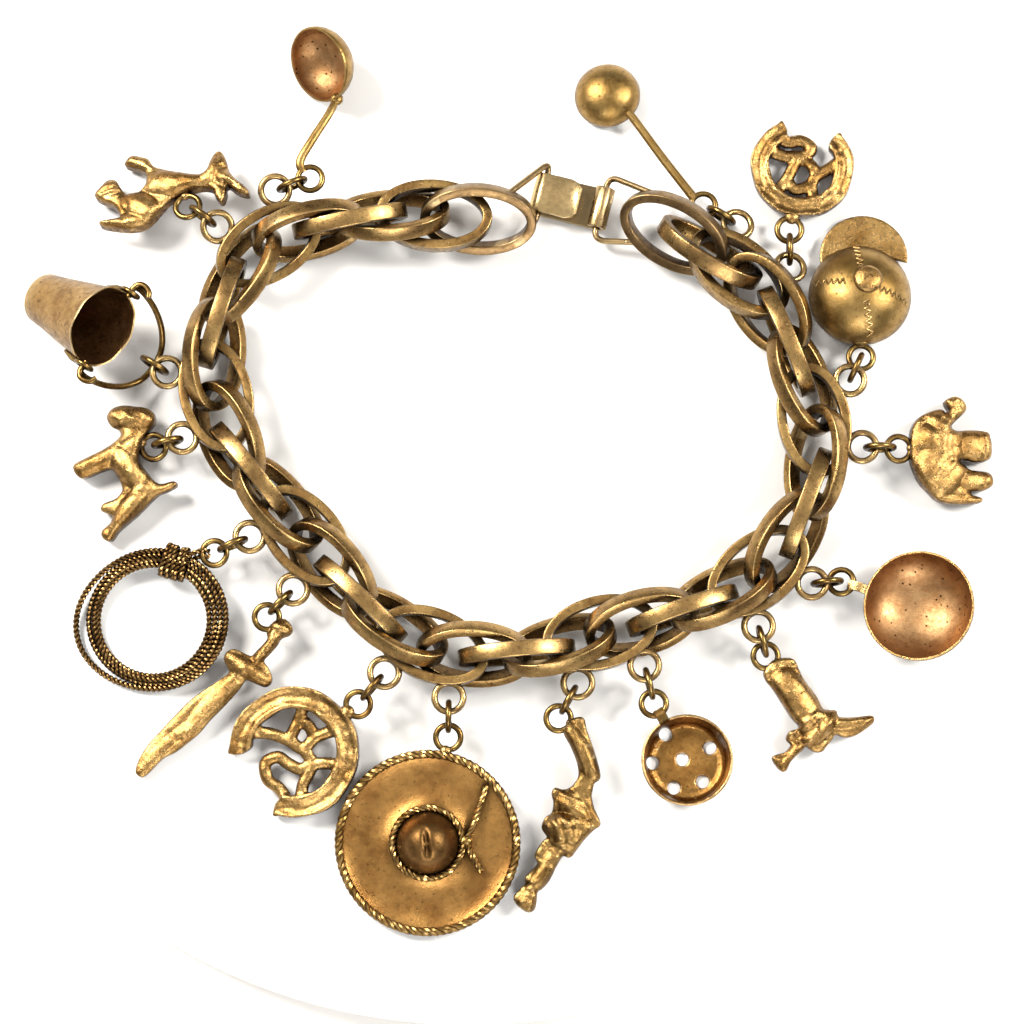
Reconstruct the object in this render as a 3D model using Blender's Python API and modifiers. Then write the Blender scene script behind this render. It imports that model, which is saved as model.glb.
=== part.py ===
"""A brass charm bracelet, closed and lying on a table: 34 overlapping oval links, two end rings,
a fold-over clasp and sixteen charms. Metres, +Z up; the table is at z = 0 under the bracelet.
"""

import math

import bmesh
import bpy
from mathutils import Matrix, Vector

MM = 0.001

# The chain. Each link is turned an eighth of a turn from the last and passes through the next two.
LINK_COUNT = 34
LINK_LENGTH = 13.3 * MM
LINK_WIDTH = 8.3 * MM
LINK_WALL = 1.0 * MM
LINK_DEPTH = 1.6 * MM
LINK_PLAY = 1.613 * MM
LINK_PITCH = (LINK_LENGTH - 2 * LINK_WALL - LINK_PLAY) / 2
LINK_TURN = 45.0
LINK_SIDES = 14
AXIS_HEIGHT = LINK_WIDTH / 2
FIRST_EYED_LINK = 5
EYED_LINK_STEP = 4
# Near the clasp the links don't lie in their regular turn: turn in degrees, by place in the chain.
EASED_TURNS = {0: -35, 1: 7, 2: 45, 3: 83, 4: 119, 5: 165, 32: 153, 33: 199, 34: 241, 35: 325}
# The steps beside the end rings, in pitches: one at the left, two at the right.
LEFT_STEP = 1.05
RIGHT_STEPS = (0.85, 0.95)

# The chain's route on the table, from the left end ring round to the right one, drawn in grid
# squares of a photograph seen from above, y down. Its length is set by the links.
GRID = 0.1141 * MM
GRID_CENTRE = (512, 440)
CHAIN_ROUTE = [
    (479, 223),
    (396, 219),
    (322, 232),
    (266, 253),
    (230, 307),
    (218, 371),
    (226, 417),
    (245, 461),
    (283, 508),
    (324, 558),
    (376, 614),
    (448, 653),
    (526, 655),
    (592, 638),
    (688, 611),
    (754, 575),
    (792, 527),
    (810, 473),
    (808, 419),
    (786, 355),
    (760, 302),
    (717, 263),
    (673, 237),
]
ROUTE_STEPS = 24

# Small rings: the eyes soldered on flat links, each charm's own ring, and the jump rings.
EYE_OUTSIDE = 4.0 * MM
EYE_WIRE = 0.75 * MM
EYE_SPACING = 7.8 * MM
CHARM_RING_OUTSIDE = 3.5 * MM
CHARM_RING_WIRE = 0.7 * MM
JUMP_OUTSIDE = 3.9 * MM
JUMP_WIRE = 0.7 * MM
EYE_CLEARANCE = 0.32 * MM
SOLDER = 0.15 * MM
EYE_SOLDER = 0.5 * MM
RING_SIDES = 10
WIRE_SIDES = 5

# The clasp: one bent sheet round two wire loops.
CLASP_CENTRE = (543, 190)
CLASP_HEADING = -14.0
CLASP_HEIGHT = 1.8 * MM
CLASP_SPAN = 6.9 * MM
CLASP_WIDTH = 4.8 * MM
CLASP_SHEET = 0.5 * MM
CLASP_TONGUE = 4.3 * MM
CLASP_CLEARANCE = 0.3 * MM
LOOP_WIRE = 0.7 * MM
LOOP_OVERHANG = 1.8 * MM
LOOP_SPREAD = 60.0

# Charms: the size that each is known by, then walls, thicknesses and swellings. The charms that
# lie close beside each other or the chain take their main size from the chain, to stay clear of them.
FOX_LENGTH = 17.9 * MM
FOX_THICKNESS = 2.3 * MM
TERRIER_LENGTH = 1.1504 * LINK_LENGTH
TERRIER_THICKNESS = 2.4 * MM
ELEPHANT_LENGTH = 12.2 * MM
ELEPHANT_THICKNESS = 2.9 * MM
BOOT_LENGTH = 12.6 * MM
BOOT_THICKNESS = 1.9 * MM
REVOLVER_LENGTH = 1.6316 * LINK_LENGTH
REVOLVER_THICKNESS = 1.9 * MM
DAGGER_LENGTH = 1.3233 * LINK_LENGTH
DAGGER_THICKNESS = 1.3 * MM
FIRST_HORSESHOE_RADIUS = 0.5639 * LINK_LENGTH
FIRST_HORSESHOE_BAND = 0.3467 * FIRST_HORSESHOE_RADIUS
SECOND_HORSESHOE_RADIUS = 6.0 * MM
SECOND_HORSESHOE_BAND = 2.2 * MM
HORSESHOE_THICKNESS = 1.6 * MM
ORNAMENT_WIRE = 1.2 * MM
SOMBRERO_RADIUS = 0.7895 * LINK_LENGTH
SOMBRERO_HEIGHT = 5.5 * MM
SOMBRERO_CROWN = 3.3 * MM
SOMBRERO_SHEET = 0.5 * MM
SOMBRERO_ROPE = 1.0 * MM
STRAINER_RADIUS = 5.2 * MM
STRAINER_DEPTH = 3.2 * MM
STRAINER_WALL = 0.45 * MM
STRAINER_HOLE = 1.37 * MM
SAUCEPAN_RADIUS = 6.3 * MM
SAUCEPAN_DEPTH = 4.7 * MM
SAUCEPAN_WALL = 0.4 * MM
CAP_RADIUS = 0.4436 * LINK_LENGTH
CAP_HEIGHT = 4.7 * MM
CAP_WALL = 0.45 * MM
CAP_VISOR_RADIUS = 0.856 * CAP_RADIUS
CAP_BUTTON = 1.65 * MM
DEEP_LADLE_RADIUS = 4.45 * MM
DEEP_LADLE_DEPTH = 3.5 * MM
SMALL_LADLE_RADIUS = 3.8 * MM
SMALL_LADLE_DEPTH = 2.9 * MM
LADLE_WALL = 0.4 * MM
HANDLE_WIDTH = 1.0 * MM
HANDLE_SHEET = 0.7 * MM
LASSO_HOLE_RADIUS = 6.1 * MM
LASSO_ROPE = 0.8 * MM
LASSO_KNOT_RADIUS = 1.8 * MM
LASSO_KNOT_LENGTH = 3.0 * MM
BUCKET_DEPTH = 10.6 * MM
BUCKET_MOUTH_RADIUS = 4.75 * MM
BUCKET_FOOT_RADIUS = 3.0 * MM
BUCKET_WALL = 0.45 * MM
BUCKET_EAR_RADIUS = 0.98 * MM
BUCKET_EAR_WIRE = 0.56 * MM
BUCKET_EAR_RISE = 0.75 * MM
BUCKET_SLOPE = 36.0
BAIL_WIRE = 0.7 * MM
BAIL_REACH = 8.7 * MM
BAIL_CLEARANCE = 0.3 * MM

WELD = 0.001 * MM


def clear_scene():
    for item in list(bpy.data.objects):
        bpy.data.objects.remove(item, do_unlink=True)


def collection_of(name):
    group = bpy.data.collections.new(name)
    bpy.context.scene.collection.children.link(group)
    return group


def metal(name, colour, roughness):
    """A Principled metal with this linear colour."""
    material = bpy.data.materials.new(name)
    material.use_nodes = True
    shader = material.node_tree.nodes["Principled BSDF"]
    shader.inputs["Base Color"].default_value = (*colour, 1.0)
    shader.inputs["Metallic"].default_value = 1.0
    shader.inputs["Roughness"].default_value = roughness
    return material


def turned_about_z(degrees):
    return Matrix.Rotation(math.radians(degrees), 4, "Z")


def towards(direction):
    """A turn that takes +Z to the direction."""
    return Vector((0, 0, 1)).rotation_difference(Vector(direction)).to_matrix().to_4x4()


def along(start, end):
    """A place whose origin is halfway from start to end, with +Z towards end."""
    return Matrix.Translation((start + end) / 2) @ towards(end - start)


def on_circle(radius, degrees, centre=(0.0, 0.0)):
    angle = math.radians(degrees)
    return (centre[0] + radius * math.cos(angle), centre[1] + radius * math.sin(angle))


def arc(radius, first, last, steps, centre=(0.0, 0.0)):
    """Points from the first angle to the last, both ends included."""
    turn = (last - first) / steps
    return [on_circle(radius, first + turn * step, centre) for step in range(steps + 1)]


def shape(name, data):
    thing = bpy.data.objects.new(name, data)
    bpy.context.scene.collection.objects.link(thing)
    return thing


def as_mesh(thing, place=None):
    """The evaluated shape as a plain closed mesh, welded and facing out, put at the place."""
    bpy.context.view_layer.update()
    graph = bpy.context.evaluated_depsgraph_get()
    mesh = bpy.data.meshes.new_from_object(thing.evaluated_get(graph))
    mesh.transform(thing.matrix_world)
    work = bmesh.new()
    work.from_mesh(mesh)
    bmesh.ops.remove_doubles(work, verts=work.verts, dist=WELD)
    bmesh.ops.recalc_face_normals(work, faces=work.faces)
    work.to_mesh(mesh)
    work.free()
    if place is not None:
        mesh.transform(place)
    result = shape(thing.name, mesh)
    bpy.data.objects.remove(thing, do_unlink=True)
    return result


def fuse(name, pieces):
    """One soldered body from overlapping pieces."""
    base = pieces[0]
    for piece in pieces[1:]:
        joint = base.modifiers.new("solder", "BOOLEAN")
        joint.operation = "UNION"
        joint.solver = "EXACT"
        joint.object = piece
    solid = as_mesh(base)
    for piece in pieces[1:]:
        bpy.data.objects.remove(piece, do_unlink=True)
    solid.name = name
    return solid


def cut(solid, cutters):
    """The solid with the cutters' shapes taken out."""
    for cutter in cutters:
        hole = solid.modifiers.new("hole", "BOOLEAN")
        hole.operation = "DIFFERENCE"
        hole.solver = "EXACT"
        hole.object = cutter
    result = as_mesh(solid)
    for cutter in cutters:
        bpy.data.objects.remove(cutter, do_unlink=True)
    return result


def placed(place):
    """The object that a primitive call has just made, with its mesh put at the place."""
    thing = bpy.context.object
    thing.data.transform(place)
    return thing


def ring(middle_radius, wire_size, place=None, sides=RING_SIDES):
    """A round wire ring about +Z."""
    bpy.ops.mesh.primitive_torus_add(
        major_radius=middle_radius,
        minor_radius=wire_size / 2,
        major_segments=sides,
        minor_segments=WIRE_SIDES,
    )
    return placed(place or Matrix())


def ball(centre, radii, turn=None, sides=8, rings=5):
    """A squashed ball."""
    bpy.ops.mesh.primitive_uv_sphere_add(segments=sides, ring_count=rings, radius=1.0)
    place = Matrix.Translation(centre) @ (turn or Matrix())
    return placed(place @ Matrix.Diagonal((*radii, 1.0)))


def swell(start, end, half_width, half_thickness):
    """A squashed ball lying from start to end, as a cast figure's body or head swells out of its outline."""
    run = end - start
    heading = turned_about_z(math.degrees(math.atan2(run.y, run.x)))
    return ball((start + end) / 2, (run.length / 2, half_width, half_thickness), heading)


def rod(start, end, radius, sides=10):
    """A round bar from start to end."""
    bpy.ops.mesh.primitive_cylinder_add(vertices=sides, radius=radius, depth=(end - start).length)
    return placed(along(start, end))


def wire(points, size, closed=False):
    """A bent wire of six sides through the points."""
    data = bpy.data.curves.new("wire", "CURVE")
    data.dimensions = "3D"
    data.bevel_depth = size / 2
    data.bevel_resolution = 1
    data.use_fill_caps = True
    line = data.splines.new("POLY")
    line.points.add(len(points) - 1)
    for point, position in zip(line.points, points):
        point.co = (*position, 1.0)
    line.use_cyclic_u = closed
    return as_mesh(shape("wire", data))


def plate(outline, thickness, place=None):
    """A flat piece cut to the outline, its thickness half above and half below z = 0."""
    count = len(outline)
    half = thickness / 2
    points = [(x, y, height) for height in (-half, half) for x, y in outline]
    faces = [range(count), range(count, 2 * count)]
    faces += [(i, (i + 1) % count, count + (i + 1) % count, count + i) for i in range(count)]
    data = bpy.data.meshes.new("plate")
    data.from_pydata(points, [], faces)
    return as_mesh(shape("plate", data), place)


def strap(side_view, width, thickness, place=None):
    """A bent strip of sheet. The side view is its centre line, as (along, up) points."""
    data = bpy.data.curves.new("strap", "CURVE")
    data.dimensions = "2D"
    data.fill_mode = "NONE"
    data.extrude = width / 2
    line = data.splines.new("POLY")
    line.points.add(len(side_view) - 1)
    for point, (ahead, up) in zip(line.points, side_view):
        point.co = (ahead, up, 0.0, 1.0)
    upright = Matrix.Rotation(math.radians(90), 4, "X")
    sheet = as_mesh(shape("strap", data), upright)
    wall = sheet.modifiers.new("sheet", "SOLIDIFY")
    wall.thickness = thickness
    wall.offset = 0.0
    wall.use_even_offset = True
    return as_mesh(sheet, place)


def turned(profile, sides, place=None):
    """A turned shape about +Z from (radius, height) points, down its outer side."""
    data = bpy.data.meshes.new("profile")
    points = [(radius, 0.0, height) for radius, height in profile]
    data.from_pydata(points, [(i, i + 1) for i in range(len(points) - 1)], [])
    thing = shape("turned", data)
    screw = thing.modifiers.new("turn", "SCREW")
    screw.axis = "Z"
    screw.steps = sides
    screw.render_steps = sides
    screw.use_merge_vertices = True
    screw.merge_threshold = WELD
    return as_mesh(thing, place)


def bowl(radius, depth, wall, sides, place=None):
    """A round-bottomed bowl with its mouth at z = 0, open upwards."""
    outer = [on_circle(1.0, angle) for angle in (0, -28, -56, -90)]
    profile = [(radius - wall, 0.0)]
    profile += [(radius * across, depth * down) for across, down in outer]
    inner = [(radius - wall) * across for across, _ in outer]
    heights = [(depth - wall) * down for _, down in outer]
    profile += list(zip(inner, heights))[:0:-1]
    profile[-1] = (inner[1], heights[1])
    closed = profile + [profile[0]]
    return turned(closed, sides, place)


class Drawing:
    """A charm's outline on a grid, x right and y down, scaled so that its longer side is `size`.
    Places on it are measured from the centre of the charm's own ring."""

    def __init__(self, size, ring_at, outline):
        across = [x for x, _ in outline]
        down = [y for _, y in outline]
        self.unit = size / max(max(across) - min(across), max(down) - min(down))
        self.ring_at = ring_at
        self.outline = outline

    def at(self, x, y, height=0.0):
        ring_x, ring_y = self.ring_at
        return Vector(((x - ring_x) * self.unit, (ring_y - y) * self.unit, height))

    def points(self):
        return [self.at(x, y)[:2] for x, y in self.outline]


def full_size(ring_at):
    """A grid with no outline, at the size that the chain's route is drawn."""
    return Drawing(GRID, ring_at, [(0, 0), (1, 0)])


def smooth_route(points, steps):
    """A smooth curve through the points (Catmull-Rom), as a close row of points."""
    ends = [2 * points[0] - points[1], *points, 2 * points[-1] - points[-2]]
    row = []
    for before, start, end, after in zip(ends, ends[1:], ends[2:], ends[3:]):
        for step in range(steps):
            t = step / steps
            row.append(
                0.5
                * (
                    2 * start
                    + (end - before) * t
                    + (2 * before - 5 * start + 4 * end - after) * t**2
                    + (3 * start - before - 3 * end + after) * t**3
                )
            )
    return row + [points[-1]]


class Route:
    """The chain's route, scaled to a length, with its places found by distance along it."""

    def __init__(self, drawn, length):
        points = [
            Vector(((x - GRID_CENTRE[0]) * GRID, (GRID_CENTRE[1] - y) * GRID)) for x, y in drawn
        ]
        row = smooth_route(points, ROUTE_STEPS)
        drawn_length = sum((b - a).length for a, b in zip(row, row[1:]))
        self.row = [point * (length / drawn_length) for point in row]
        self.length = length

    def at(self, distance):
        left = min(max(distance, 0.0), self.length)
        for a, b in zip(self.row, self.row[1:]):
            step = (b - a).length
            if left <= step:
                return a + (b - a) * (left / step)
            left -= step
        return self.row[-1]

    def heading(self, distance, reach=1.5 * MM):
        run = self.at(distance + reach) - self.at(distance - reach)
        return math.degrees(math.atan2(run.y, run.x))


def link_places():
    """Where each link lies, end rings included: one matrix for each place in the chain."""
    steps = [0.0] + [LEFT_STEP + number for number in range(LINK_COUNT - 1)]
    steps += [steps[-1] + RIGHT_STEPS[0], steps[-1] + sum(RIGHT_STEPS)]
    route = Route(CHAIN_ROUTE, steps[-1] * LINK_PITCH)
    places = []
    for number, step in enumerate(steps):
        distance = step * LINK_PITCH
        turn = EASED_TURNS.get(number, LINK_TURN * (number - 1))
        half_turns_off = (turn + 90) % 180 - 90
        position = route.at(distance)
        places.append(
            Matrix.Translation((position.x, position.y, AXIS_HEIGHT))
            @ turned_about_z(route.heading(distance))
            @ Matrix.Rotation(math.radians(half_turns_off), 4, "X")
        )
    return places


def oval(length, width):
    steps = [2 * math.pi * i / LINK_SIDES for i in range(LINK_SIDES)]
    return [(length / 2 * math.cos(t), width / 2 * math.sin(t)) for t in steps]


def link_body():
    """One flat-sided oval link lying about its own middle."""
    outside = oval(LINK_LENGTH, LINK_WIDTH)
    inside = oval(LINK_LENGTH - 2 * LINK_WALL, LINK_WIDTH - 2 * LINK_WALL)
    rows = [(outside, -1), (outside, 1), (inside, 1), (inside, -1)]
    points = [(x, y, side * LINK_DEPTH / 2) for row, side in rows for x, y in row]
    faces = []
    for row in range(4):
        first = row * LINK_SIDES
        after = (row + 1) % 4 * LINK_SIDES
        for i in range(LINK_SIDES):
            j = (i + 1) % LINK_SIDES
            faces.append((first + i, first + j, after + j, after + i))
    data = bpy.data.meshes.new("link")
    data.from_pydata(points, [], faces)
    return as_mesh(shape("link", data))


def eye_middle_radius():
    return (EYE_OUTSIDE - EYE_WIRE) / 2


def eye_at(side):
    """An eye's centre in its link's frame; side -1 comes first along the chain."""
    ahead = side * EYE_SPACING / 2
    edge = LINK_WIDTH / 2 * math.sqrt(1 - (ahead / (LINK_LENGTH / 2)) ** 2)
    return Vector((ahead, -(edge + EYE_OUTSIDE / 2 - EYE_SOLDER), 0.0))


def eyed_link_body():
    """A flat link with the pair of eyes that two charms hang from."""
    eyes = [ring(eye_middle_radius(), EYE_WIRE, Matrix.Translation(eye_at(side))) for side in (-1, 1)]
    return fuse("eyed_link", [link_body(), *eyes])


def clasp_place():
    """The clasp's frame: the left loop's bar at the origin, +X to the right loop's bar."""
    x = (CLASP_CENTRE[0] - GRID_CENTRE[0]) * GRID
    y = (GRID_CENTRE[1] - CLASP_CENTRE[1]) * GRID
    return Matrix.Translation((x, y, CLASP_HEIGHT)) @ turned_about_z(CLASP_HEADING)


def clasp_bend():
    """Radius of the sheet's centre line round a loop's bar."""
    return LOOP_WIRE / 2 + CLASP_CLEARANCE + CLASP_SHEET / 2


def clasp_hook():
    """The tongue, folded back over the left bar, the back plate, and the barrel round the right bar."""
    bend = clasp_bend()
    fold = arc(bend, 90, 270, 6)
    barrel = arc(bend, -90, 160, 8, (CLASP_SPAN, 0.0))
    side_view = [(CLASP_TONGUE, bend * 0.8), *fold, *barrel]
    return strap(side_view, CLASP_WIDTH, CLASP_SHEET, clasp_place())


def wire_loop(ring_place, bar_ahead, facing):
    """The wire soldered to an end ring at two points, with its bar inside the clasp."""
    half_length = (LINK_LENGTH - LINK_WALL) / 2
    half_width = (LINK_WIDTH - LINK_WALL) / 2
    feet = []
    for spread in (-LOOP_SPREAD, LOOP_SPREAD):
        angle = math.radians(facing + spread)
        feet.append(ring_place @ Vector((half_length * math.cos(angle), half_width * math.sin(angle), 0.0)))
    reach = CLASP_WIDTH / 2 + LOOP_OVERHANG
    bar = [clasp_place() @ Vector((bar_ahead, side * reach, 0.0)) for side in (-1, 1)]
    if (feet[0] - bar[0]).length > (feet[0] - bar[1]).length:
        bar.reverse()
    corner = LOOP_OVERHANG * 0.7
    path = [feet[0]]
    path.append(bar[0] + (feet[0] - bar[0]).normalized() * corner)
    path.append(bar[0] + (bar[1] - bar[0]).normalized() * corner)
    path.append(bar[1] + (bar[0] - bar[1]).normalized() * corner)
    path.append(bar[1] + (feet[1] - bar[1]).normalized() * corner)
    path.append(feet[1])
    return wire(path, LOOP_WIRE)


def end_ring(name, ring_place, bar_ahead, facing):
    body = link_body()
    body.data.transform(ring_place)
    return fuse(name, [body, wire_loop(ring_place, bar_ahead, facing)])


def charm_ring():
    return ring((CHARM_RING_OUTSIDE - CHARM_RING_WIRE) / 2, CHARM_RING_WIRE)


def solder(centre, radius=0.6 * MM):
    """The blob of solder that fixes a charm's own ring to it."""
    return ball(centre, (radius, radius, radius), sides=6, rings=4)


FOX = Drawing(
    FOX_LENGTH,
    (202, 203),
    [
        (160, 157),
        (182, 162),
        (210, 170),
        (224, 158),
        (226, 149),
        (233, 145),
        (241, 155),
        (244, 168),
        (256, 182),
        (263, 196),
        (250, 187),
        (239, 186),
        (237, 205),
        (227, 192),
        (213, 186),
        (197, 194),
        (182, 205),
        (170, 213),
        (159, 223),
        (148, 228),
        (133, 226),
        (114, 218),
        (130, 212),
        (124, 203),
        (106, 186),
        (113, 173),
        (125, 171),
        (134, 183),
        (148, 186),
        (158, 179),
        (158, 166),
        (136, 152),
        (143, 144),
        (150, 150),
    ],
)


def fox():
    return [
        plate(FOX.points(), FOX_THICKNESS),
        swell(FOX.at(158, 168), FOX.at(222, 180), 1.5 * MM, 0.8 * FOX_THICKNESS),
        swell(FOX.at(226, 152), FOX.at(260, 192), 1.1 * MM, 0.75 * FOX_THICKNESS),
        swell(FOX.at(146, 190), FOX.at(174, 196), 1.6 * MM, 0.75 * FOX_THICKNESS),
        solder(FOX.at(200, 192)),
        charm_ring(),
    ]


TERRIER = Drawing(
    TERRIER_LENGTH,
    (158, 441),
    [
        (111, 414),
        (116, 402),
        (131, 400),
        (152, 403),
        (158, 410),
        (149, 428),
        (143, 444),
        (151, 460),
        (156, 470),
        (168, 480),
        (180, 478),
        (171, 487),
        (155, 494),
        (142, 509),
        (115, 534),
        (107, 527),
        (119, 510),
        (106, 504),
        (114, 496),
        (125, 488),
        (126, 477),
        (114, 464),
        (87, 472),
        (78, 462),
        (96, 449),
        (110, 441),
        (126, 430),
        (122, 421),
    ],
)


def terrier():
    return [
        plate(TERRIER.points(), TERRIER_THICKNESS),
        swell(TERRIER.at(114, 412), TERRIER.at(156, 413), 1.3 * MM, 0.75 * TERRIER_THICKNESS),
        swell(TERRIER.at(134, 425), TERRIER.at(144, 486), 1.4 * MM, 0.8 * TERRIER_THICKNESS),
        swell(TERRIER.at(158, 470), TERRIER.at(124, 520), 1.2 * MM, 0.75 * TERRIER_THICKNESS),
        solder(TERRIER.at(147, 440)),
        charm_ring(),
    ]


ELEPHANT = Drawing(
    ELEPHANT_LENGTH,
    (900, 444),
    [
        (949, 393),
        (965, 393),
        (969, 400),
        (957, 415),
        (956, 425),
        (988, 425),
        (994, 440),
        (993, 453),
        (979, 458),
        (966, 459),
        (972, 465),
        (993, 467),
        (996, 478),
        (991, 486),
        (977, 486),
        (985, 494),
        (957, 500),
        (933, 496),
        (919, 482),
        (912, 460),
        (912, 430),
        (921, 411),
        (941, 405),
        (950, 401),
    ],
)


def elephant():
    return [
        plate(ELEPHANT.points(), 0.8 * ELEPHANT_THICKNESS),
        swell(ELEPHANT.at(936, 430), ELEPHANT.at(938, 500), 2.4 * MM, 0.75 * ELEPHANT_THICKNESS),
        swell(ELEPHANT.at(917, 412), ELEPHANT.at(952, 442), 1.8 * MM, 0.7 * ELEPHANT_THICKNESS),
        solder(ELEPHANT.at(911, 441)),
        charm_ring(),
    ]


BOOT = Drawing(
    BOOT_LENGTH,
    (763, 648),
    [
        (763, 666),
        (790, 652),
        (803, 677),
        (819, 701),
        (836, 707),
        (866, 708),
        (870, 712),
        (861, 720),
        (846, 726),
        (828, 726),
        (822, 739),
        (812, 743),
        (803, 738),
        (788, 755),
        (781, 762),
        (771, 750),
        (788, 733),
        (785, 728),
        (797, 723),
        (795, 712),
    ],
)


def boot():
    shaft_radius = 1.65 * MM
    return [
        plate(BOOT.points(), BOOT_THICKNESS),
        rod(BOOT.at(779, 663), BOOT.at(806, 708), shaft_radius),
        swell(BOOT.at(796, 714), BOOT.at(868, 716), 1.2 * MM, 0.85 * BOOT_THICKNESS),
        solder(BOOT.at(769, 660), 0.8 * MM),
        charm_ring(),
    ]


REVOLVER = Drawing(
    REVOLVER_LENGTH,
    (556, 719),
    [
        (563, 726),
        (572, 720),
        (582, 722),
        (597, 779),
        (587, 797),
        (590, 809),
        (596, 820),
        (583, 834),
        (566, 856),
        (548, 874),
        (535, 894),
        (530, 910),
        (513, 900),
        (524, 878),
        (532, 868),
        (534, 856),
        (545, 842),
        (541, 829),
        (549, 813),
        (551, 790),
        (566, 790),
        (575, 774),
        (573, 759),
    ],
)


def revolver():
    return [
        plate(REVOLVER.points(), REVOLVER_THICKNESS),
        swell(REVOLVER.at(580, 798), REVOLVER.at(552, 850), 2.0 * MM, 1.1 * REVOLVER_THICKNESS),
        swell(REVOLVER.at(572, 722), REVOLVER.at(588, 790), 1.3 * MM, 0.75 * REVOLVER_THICKNESS),
        rod(REVOLVER.at(560, 846), REVOLVER.at(523, 902), 1.1 * MM, 8),
        solder(REVOLVER.at(563, 729)),
        charm_ring(),
    ]


DAGGER = Drawing(
    DAGGER_LENGTH,
    (268, 614),
    [
        (281, 617),
        (288, 618),
        (293, 628),
        (287, 634),
        (266, 657),
        (272, 674),
        (259, 682),
        (244, 682),
        (216, 711),
        (202, 728),
        (165, 752),
        (143, 771),
        (139, 764),
        (155, 735),
        (170, 721),
        (217, 682),
        (232, 672),
        (226, 654),
        (236, 647),
        (253, 651),
        (268, 632),
    ],
)


def dagger():
    return [
        plate(DAGGER.points(), DAGGER_THICKNESS),
        swell(DAGGER.at(288, 623), DAGGER.at(251, 660), 0.95 * MM, 0.95 * DAGGER_THICKNESS),
        swell(DAGGER.at(228, 652), DAGGER.at(270, 678), 0.8 * MM, 0.8 * DAGGER_THICKNESS),
        solder(DAGGER.at(279, 620)),
        charm_ring(),
    ]


def horseshoe(radius, band, opening, half_gap):
    """A cast horseshoe whose toes point to the opening angle, with a plain pierced ornament inside."""
    middle = on_circle(radius + CHARM_RING_OUTSIDE / 2 - SOLDER, opening)
    inner = radius - band
    toe = radius + 0.4 * band
    outline = arc(radius, opening + half_gap + 8, opening + 352 - half_gap, 12, middle)
    outline.append(on_circle(toe, opening + 360 - half_gap, middle))
    outline += arc(inner, opening + 356 - half_gap, opening + half_gap + 4, 11, middle)
    outline.append(on_circle(toe, opening + half_gap, middle))

    def spot(reach, angle):
        return Vector((*on_circle(reach, opening + angle, middle), 0.0))

    into_band = inner + 0.35 * band
    curl_radius = 0.32 * inner
    pieces = [plate(outline, HORSESHOE_THICKNESS)]
    pieces.append(ring(curl_radius, ORNAMENT_WIRE, Matrix.Translation(spot(0.2 * inner, 0))))
    for angle, end, thicker in ((70, 0.3, 1.0), (-70, 0.3, 1.07), (150, 0.05, 0.93), (-150, 0.05, 1.13)):
        bar = [spot(end * inner, angle * 0.9), spot(into_band, angle)]
        pieces.append(wire(bar, ORNAMENT_WIRE * thicker))
    pieces.append(solder(Vector((*on_circle(CHARM_RING_OUTSIDE / 2, opening), 0.1 * MM)), 0.75 * MM))
    pieces.append(charm_ring())
    return pieces


def first_horseshoe():
    return horseshoe(FIRST_HORSESHOE_RADIUS, FIRST_HORSESHOE_BAND, -144.0, 35.0)


def second_horseshoe():
    return horseshoe(SECOND_HORSESHOE_RADIUS, SECOND_HORSESHOE_BAND, 78.0, 34.0)


def sombrero():
    """The hat lies crown up, its twisted border and hat band turned with it in one piece."""
    rope = SOMBRERO_ROPE / 2
    edge = SOMBRERO_RADIUS
    crown = SOMBRERO_CROWN
    sheet = SOMBRERO_SHEET
    heading = -101.0
    middle = on_circle(edge + CHARM_RING_OUTSIDE / 2 - SOLDER, heading)
    place = Matrix.Translation((*middle, 0.0))
    band_height = 0.17 * SOMBRERO_HEIGHT
    profile = [
        (0.0, 0.86 * SOMBRERO_HEIGHT),
        (0.42 * crown, SOMBRERO_HEIGHT),
        (0.7 * crown, 0.93 * SOMBRERO_HEIGHT),
        (0.92 * crown, band_height + rope),
        (1.22 * crown, band_height + 0.5 * rope),
        (1.22 * crown, band_height - 0.5 * rope),
        (0.6 * edge, 0.02 * SOMBRERO_HEIGHT),
        (edge - 1.9 * rope, 0.05 * SOMBRERO_HEIGHT),
        (edge - rope, rope),
        (edge, 0.0),
        (edge - rope, -rope),
        (edge - 1.9 * rope, 0.05 * SOMBRERO_HEIGHT - sheet),
        (0.6 * edge, 0.02 * SOMBRERO_HEIGHT - sheet),
        (0.92 * crown - sheet, band_height - rope),
        (0.7 * crown - sheet, 0.93 * SOMBRERO_HEIGHT - sheet),
        (0.0, 0.86 * SOMBRERO_HEIGHT - sheet),
    ]
    pieces = [turned(profile, 16, place)]
    knot = place @ Vector((*on_circle(1.15 * crown, 8), band_height))
    tip_height = rope + 0.12 * SOMBRERO_HEIGHT
    for angle in (45, -22):
        tip = place @ Vector((*on_circle(0.72 * edge, angle), tip_height * 0.6))
        pieces.append(wire([knot, (knot + tip) / 2, tip], 0.8 * MM))
    pieces.append(ball(knot, (0.8 * MM, 0.8 * MM, 0.7 * MM), sides=6, rings=4))
    pieces.append(solder(Vector((*on_circle(CHARM_RING_OUTSIDE / 2, heading), 0.0))))
    pieces.append(charm_ring())
    return pieces


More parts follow.
